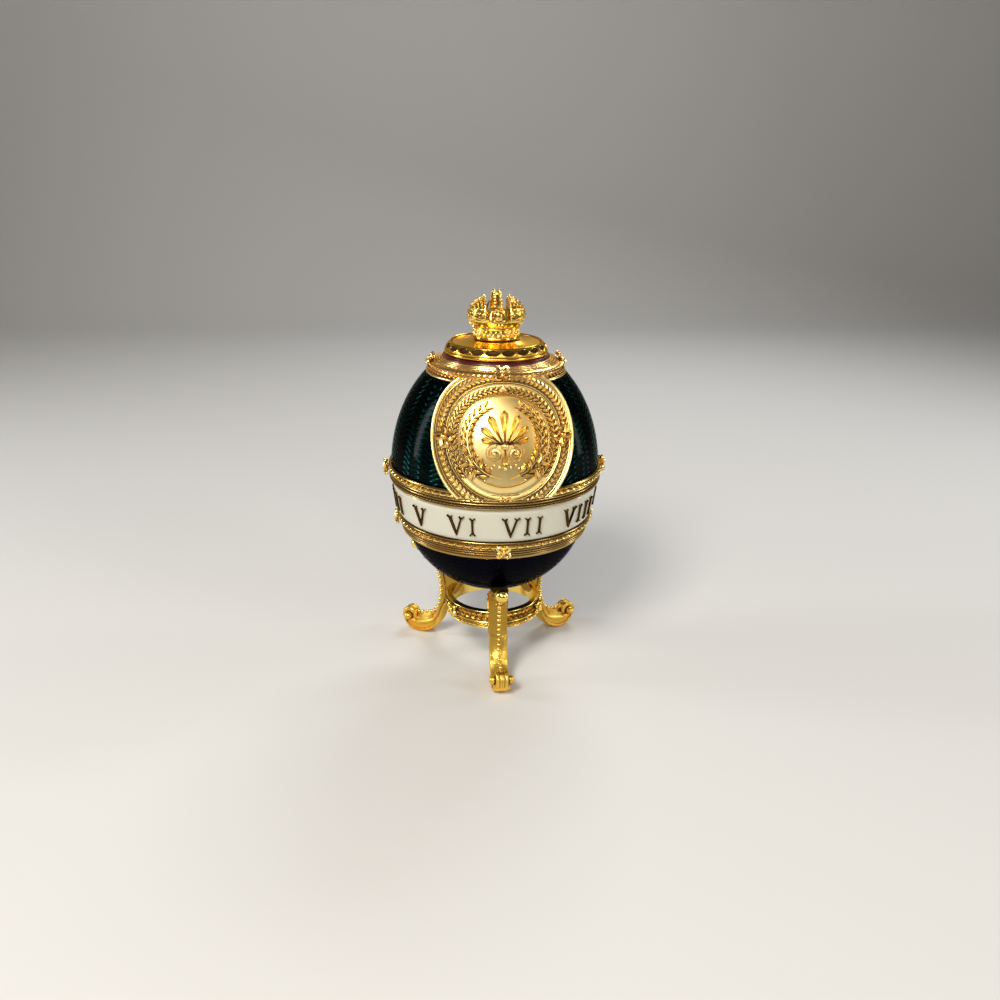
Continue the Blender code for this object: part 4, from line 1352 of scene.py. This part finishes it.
half_rings = []
for across in [*np.linspace(CAP_CUT, 6.9, 12), 7.2, 7.32]:
    ring = math.sqrt(1.0 - (across / CAP_SIZE[0]) ** 2)
    angles = np.radians(np.linspace(0.0, 360.0, 49)[:-1])
    half_rings.append(np.stack([np.full(48, across), CAP_SIZE[1] * ring * np.cos(angles),
                                CAP_MIDDLE[2] + CAP_SIZE[2] * ring * np.sin(angles)], 1))
half_pearls = [grains(0.50, 1.0, *cap_row(0.0, -48.0))]
for side in (-1.0, 1.0):
    for depth in (0.20, 0.35, 0.49, 0.62, 0.74, 0.84):
        half_pearls.append(grains(0.37, PAVE_PITCH, *cap_row(depth * side, -42.0)))
ring = math.sqrt(1.0 - (CAP_CUT / CAP_SIZE[0]) ** 2)
angles = np.radians(np.linspace(-15.0, 195.0, 60))
edge_out = np.stack([np.zeros(60), np.cos(angles), np.sin(angles)], 1)
edge_line = (CAP_CUT + 0.05, 0.0, 0.0) + CAP_MIDDLE + edge_out * CAP_SIZE * ring
half_pearls.append(grains(0.36, 0.86, edge_line + edge_out * 0.2, edge_out))
crown_parts.append(both_sides(joined(lofted(half_rings), tube(edge_line, 0.26, 6))))
pearls.append(both_sides(joined(*half_pearls)))
print("rows of grains and pearls on a half:", len(half_pearls))

# %% [markdown]
# ## The crown: arch and jewels
#
# The arch is a strip with raised edges, bent from front to back, and a row of pearls sits on
# each edge. The same jewel hangs under both of its ends.

# %% Bend the arch and set the jewels
ARCH_HALF = 6.55                # from the crown's middle to an end of the arch, in mm
ARCH_FOOT = FOOT + 5.0
ARCH_BEAD = 0.44                # radius of the pearls on its edges
ARCH_BEADS = 23
ARCH_STEPS = 61
# across the strip as a share of its half width, and how far out
ARCH_SECTION = ((-1.0, -0.5), (-1.0, 0.1), (-0.55, 0.1), (-0.4, -0.4), (0.4, -0.4), (0.55, 0.1),
                (1.0, 0.1), (1.0, -0.5))

arch_rise = crown_high - ARCH_BEAD - 0.02 - ARCH_FOOT
angles = np.radians(np.linspace(2.0, 178.0, ARCH_STEPS))
flat = np.zeros(ARCH_STEPS)
arch_out = np.stack([flat, -np.cos(angles), np.sin(angles)], 1)
arch_line = arch_out * (0.0, ARCH_HALF, arch_rise) + (0.0, 0.0, ARCH_FOOT)
arch_rings = []
for point, out, angle in zip(arch_line, arch_out, angles):
    half_width = 1.35 - 0.35 * math.sin(angle)
    arch_rings.append([point + out * rise + (x * half_width, 0.0, 0.0) for x, rise in ARCH_SECTION])
crown_parts.append(lofted(arch_rings))
aside = np.stack([1.0 - 0.28 * np.sin(angles), flat, flat], 1)
for side in (-1.0, 1.0):
    pearls.append(set_along(bead(ARCH_BEAD, steps=8), arch_line + side * aside, arch_out,
                            ARCH_BEADS))

frame_line = [(1.95 * math.cos(a), -7.0 + 0.35 * math.sin(a), 6.2 + 2.75 * math.sin(a))
              for a in np.radians(np.linspace(-28.0, 208.0, 24))]
jewel = [placed(bead(1.0, (1.25, 0.75, 1.6), 12), shift(0.0, -6.75, 6.3)),
         tube(frame_line, 0.27, 7)]
for x in (-0.85, 0.0, 0.85):
    jewel.append(placed(bead(0.42, steps=8), shift(x, -7.0, 4.35)))
for x, z in ((0.0, 7.1), (-0.5, 6.45), (0.5, 6.45), (0.0, 5.8), (-0.5, 5.2), (0.5, 5.2)):
    jewel.append(placed(bead(0.27, steps=6), shift(x, -7.38, z)))
jewel = lifted(joined(*jewel), FOOT)
crown_parts += [jewel, placed(jewel, spin(180.0, "Z"))]
finished("crown", joined(*crown_parts), bright_gilt, "crown")
# The pearls are gilt paler than the crown, as a painted highlight.
finished("crown_pearls", joined(*pearls), pearl_gilt)

# %% [markdown]
# ## The tripod: one leg
#
# The stand is one casting. Each leg swings in from a ball under the egg to a waist, carries the
# ring there, and runs out along a foot that rolls up. A leg is a loft over stations that pair a
# point of its outer edge with one of its inner edge. Its front has a ridge like a shallow roof,
# with beads along it, and its sides are sunk between raised edges.

# %% Loft a leg
LEG_STATIONS = (
    ((23.3, 26.1), (23.2, 27.9), 1.2),
    ((21.8, 25.1), (20.7, 28.0), 2.1),
    ((20.4, 24.1), (17.2, 27.2), 2.5),
    ((19.2, 23.0), (14.2, 25.0), 2.6),
    ((18.2, 21.6), (10.6, 22.9), 2.6),
    ((17.6, 19.4), (8.7, 20.6), 2.65),
    ((17.2, 17.3), (10.4, 17.6), 2.65),
    ((17.05, 15.0), (11.7, 15.2), 2.65),
    ((17.2, 12.5), (13.2, 12.6), 2.6),
    ((17.8, 9.6), (15.2, 9.1), 2.55),
    ((18.9, 7.5), (16.7, 5.0), 2.5),
    ((20.8, 6.3), (19.0, 2.0), 2.5),
    ((22.8, 5.7), (21.6, 0.45), 2.55),
    ((24.4, 5.4), (24.2, 0.0), 2.55),
    ((25.7, 5.2), (26.6, 0.5), 2.5),
    ((26.6, 5.1), (28.5, 1.8), 2.4),
    ((27.3, 5.1), (29.3, 3.2), 2.1),
)
ROOF = 1.75                     # height of the ridge over the edges of a leg's front, in mm
SLIM = 3.6                      # where a leg is thinner than this, its sides aren't sunk
stations = smooth_line([(*outer, *inner, width) for outer, inner, width in LEG_STATIONS], 5)
leg_rings = []
for out_x, out_z, in_x, in_z, width in stations:
    outer, inner = np.array([out_x, 0.0, out_z]), np.array([in_x, 0.0, in_z])
    deep = np.linalg.norm(inner - outer)
    way = (inner - outer) / deep
    roof = min(0.33 * deep, ROOF)
    half_ring = [(0.0, 0.06), (0.5 * roof, 0.42), (roof, 0.84), (roof + 0.25, 0.96),
                 (roof + 0.55, 1.0), (roof + 0.85, 0.97), (roof + 1.0, 0.84), (deep - 1.05, 0.84),
                 (deep - 0.9, 0.97), (deep - 0.6, 1.0), (deep - 0.25, 0.9), (deep, 0.55)]
    if deep < SLIM:
        half_ring = [(deep * index / 11.0, across) for index, (_, across) in enumerate(half_ring)]
    ring = half_ring + [(along, -across) for along, across in half_ring[:0:-1]]
    leg_rings.append([outer + way * along + (0.0, across * width, 0.0) for along, across in ring])
leg = [lofted(leg_rings)]

RIDGE_PITCH = 1.42              # distance between the beads on the ridge, in mm
RIDGE_PART = slice(10, 68)      # the stations that have beads
LEG_BALL = 1.75                 # radius of the ball at the top
COLLAR_LEAN = 1.25              # lean of the small ring under the ball, in radians
ridge_line = np.insert(stations[:, :2], 1, 0.0, axis=1)
ridge_out = np.gradient(ridge_line, axis=0)[:, ::-1] * (-1.0, 0.0, 1.0)
ridge_out /= np.linalg.norm(ridge_out, axis=1)[:, None]
ridge_out = ridge_out[RIDGE_PART]
bead_line = ridge_line[RIDGE_PART] + ridge_out * 0.35
ridge_beads = set_along(bead(0.58), bead_line, ridge_out,
                        round(length_of(bead_line) / RIDGE_PITCH), 1.0, 0.85)
leg_ball = placed(bead(LEG_BALL, steps=24), shift(25.2, 0.0, 28.4))
collar_ring = turned([(1.25, 0.0), (1.5, -0.28), (1.78, 0.0), (1.5, 0.28)], 32)
leg.append(placed(collar_ring, shift(24.1, 0.0, 27.9) @ Matrix.Rotation(COLLAR_LEAN, 4, "Y")))
chevron = [(22.3, 1.25, 24.7), (21.8, 0.5, 24.2), (21.5, 0.0, 23.8), (21.8, -0.5, 24.2),
           (22.3, -1.25, 24.7)]
leg.append(tube(smooth_line(chevron, 4), 0.22, 6))
print("length of the beaded ridge in mm:", round(length_of(bead_line), 1))

# %% [markdown]
# ## The tripod: rolls, ring and assembly
#
# Each foot ends in a reeded roll with a round knob at both ends. The ring is a stack of reeds
# with a ribbon wound over the lowest one. Midway between the legs a bow is tied round it, and
# laurel runs out from the bow both ways. The leg is modelled once, pointing along +X, and turned
# into its three places. Ring, balls and ridge beads are gilt brighter than the legs, as a painted
# highlight, so they are their own piece.

# %% Model the roll, the ring and put the stand together
ROLL_OUT = 27.5                 # how far out and how high the middle of a roll is
ROLL_UP = 4.6
ROLL_REEDS = [(0.08, 0.45, 0.0), (0.92, 0.0, 0.24), (0.10, 0.0, -0.08), (0.60, 0.12, 0.06)]
KNOB = 1.15                     # radius of the knobs at its ends, in mm
REEDS_HALF = 1.70               # half the length of its reeded part
roll_half = [(0.01, REEDS_HALF + 1.55 * KNOB),
             *arc(0.0, REEDS_HALF + 0.55 * KNOB, KNOB, KNOB, 75.0, -35.0, 9), (1.5, REEDS_HALF)]
roll_half += [(1.8 + out, REEDS_HALF - along) for along, out in contour(ROLL_REEDS, fine=6)]
roll_line = roll_half + [(2.42, 0.0)] + [(radius, -along) for radius, along in roll_half[::-1]]
leg.append(placed(turned(roll_line, 40), shift(ROLL_OUT, 0.0, ROLL_UP) @ spin(90.0, "X")))
leg = joined(*leg)

RING_RADIUS = 13.35
DRESS_RADIUS = RING_RADIUS + 0.1
RIBBON_UP = 13.45               # heights of the ring's ribbon, laurel and bows, in mm
LAUREL_UP = 16.35
BOW_UP = 15.9
RING_TOP = 17.9
RING_FOOT = 12.6
RING_ROWS = [(0.5, 0.0, 0.3), (0.14, 0.0, -0.2), (1.35, 0.0, 0.1), (0.14, 0.0, -0.2),
             (0.6, 0.0, 0.3), (0.14, 0.0, -0.2), (0.6, 0.0, 0.3), (0.16, 0.0, -0.2),
             (0.85, 0.0, 0.2), (0.35, 0.0, 0.12)]
ring_line = band_outline(RING_TOP, RING_FOOT, RING_RADIUS, RING_RADIUS, 1.3, RING_ROWS)
stand = []
# Ring, ribbon, laurel, bows, balls and beads are gilt brighter than the legs, as a painted
# highlight.
highlight_parts = [turned(ring_line, 180),
             rope(RING_RADIUS + 0.05, RIBBON_UP, 1.3, strand(1.15, 0.85, 0.42, 0.5))]
laurel = tilted(sprig(2.1, 0.85, 0.5, 28.0), 0.0)
for turn in (0.0, 120.0, 240.0):
    highlight_parts.append(set_round(laurel, 6, DRESS_RADIUS, LAUREL_UP, turn + 66.0, 7.0))
    highlight_parts.append(set_round(mirrored(laurel), 6, DRESS_RADIUS, LAUREL_UP, turn + 54.0, -7.0))
    highlight_parts.append(set_round(bow(3.9, 1.5), 1, DRESS_RADIUS, BOW_UP, turn + 60.0, 0.0))
    turning = spin(turn - 90.0, "Z")
    stand.append(placed(leg, turning))
    highlight_parts.append(placed(joined(ridge_beads, leg_ball), turning))
finished("tripod", joined(*stand), deep_gilt, "tripod_stand")
finished("tripod_burnished", joined(*highlight_parts), bright_gilt)

# %% [markdown]
# ## The floor, the lamps and the camera
#
# A plain pale sheet runs along the floor and curves up behind. Gold only looks like gold when
# it has bright and dark things to mirror, so soft lamps of several sizes stand against a dim sky.

# %% Sweep the backdrop
SWEEP_HALF = 800.0              # half its width; all of these are in mm
SWEEP_BACK = 520.0
SWEEP_FRONT = -700.0
SWEEP_BEND = 260.0
SWEEP_TALL = 900.0
sweep_line = [(SWEEP_FRONT, 0.0),
              *arc(SWEEP_BACK, SWEEP_BEND, SWEEP_BEND, SWEEP_BEND, -90.0, 0.0, 13),
              (SWEEP_BACK + SWEEP_BEND, SWEEP_TALL)]
points = np.array([(side * SWEEP_HALF, y, z) for y, z in sweep_line for side in (-1.0, 1.0)])
faces = [(2 * i, 2 * i + 1, 2 * i + 3, 2 * i + 2) for i in range(len(sweep_line) - 1)]
sweep = held("sweep", (points * MM, faces))
sweep.data.shade_smooth()
paper = Finish("pale_paper", Base_Color=(0.64, 0.63, 0.61, 1.0), Roughness=0.75)
sweep.data.materials.append(paper.material)
print("faces of the backdrop:", len(faces))

# %% [markdown]
# ## The lamps
#
# Each lamp is a soft rectangle aimed at the egg's middle. The key stands high on the left, wide
# soft lamps fill the front, and strips at both sides draw long streaks down the curved enamel.

# %% Hang the lamps
MIDDLE = Vector((0.0, 0.0, 55.0))


def lamp(name, place, size, watts, colour):
    """A rectangular soft lamp aimed at the egg's middle. Places are in millimetres."""
    data = bpy.data.lights.new(name, "AREA")
    data.shape = "RECTANGLE"
    data.size, data.size_y = size[0] * MM, size[1] * MM
    data.energy = watts
    data.color = colour
    made = bpy.data.objects.new(name, data)
    made.location = Vector(place) * MM
    made.rotation_euler = (MIDDLE - Vector(place)).to_track_quat("-Z", "Y").to_euler()
    bpy.context.scene.collection.objects.link(made)
    print(f"{name}: {watts} W from {place} mm")


lamp("key", (-220.0, -360.0, 450.0), (170.0, 170.0), 2.7, (1.0, 0.95, 0.87))
lamp("fill", (400.0, -300.0, 230.0), (110.0, 260.0), 0.55, (1.0, 0.97, 0.92))
lamp("front", (-40.0, -520.0, 400.0), (420.0, 200.0), 1.1, (1.0, 0.95, 0.88))
lamp("left strip", (-480.0, 70.0, 170.0), (60.0, 300.0), 0.90, (0.96, 0.98, 1.0))
lamp("right strip", (480.0, 70.0, 170.0), (60.0, 300.0), 0.60, (0.96, 0.98, 1.0))
lamp("rim", (160.0, 380.0, 420.0), (260.0, 110.0), 1.05, (0.97, 0.98, 1.0))
world = bpy.data.worlds.new("room")
world.use_nodes = True
sky = world.node_tree.nodes["Background"].inputs
sky["Color"].default_value = (0.62, 0.62, 0.64, 1.0)
sky["Strength"].default_value = 0.13
bpy.context.scene.world = world
bpy.context.scene.view_settings.view_transform = "Standard"

# %% [markdown]
# ## The camera
#
# The camera looks down on the clock from about a quarter of a metre away. Its axes are worked
# out one by one: where it looks, what is level across the picture, and a slight roll.

# %% Set up the camera
CAMERA_OUT = 250.75             # distance from the egg's axis, in mm
CAMERA_UP = 139.7
CAMERA_ROUND = -5.3             # degrees round from the front
CAMERA_DOWN = 20.459            # degrees it looks down
CAMERA_ASIDE = 0.365            # degrees it looks past the axis
CAMERA_ROLL = 0.7835
LENS = 34.2
SENSOR = 36.0
aim = math.radians(CAMERA_ASIDE)
down = math.radians(CAMERA_DOWN)
forward = Vector((math.sin(aim) * math.cos(down), math.cos(aim) * math.cos(down), -math.sin(down)))
level = Vector((math.cos(aim), -math.sin(aim), 0.0))
above = level.cross(forward)
roll = math.radians(CAMERA_ROLL)
right = level * math.cos(roll) + above * math.sin(roll)
top = above * math.cos(roll) - level * math.sin(roll)
axes = Matrix((right, top, -forward)).transposed().to_4x4()
walk = spin(CAMERA_ROUND, "Z")
camera_data = bpy.data.cameras.new("camera")
camera_data.lens = LENS
camera_data.sensor_width = SENSOR
camera_data.clip_start = 0.01
camera = bpy.data.objects.new("camera", camera_data)
camera.matrix_world = walk @ shift(0.0, -CAMERA_OUT * MM, CAMERA_UP * MM) @ axes
bpy.context.scene.collection.objects.link(camera)
bpy.context.scene.camera = camera
print("camera at", [round(value / MM, 1) for value in camera.matrix_world.translation], "mm")
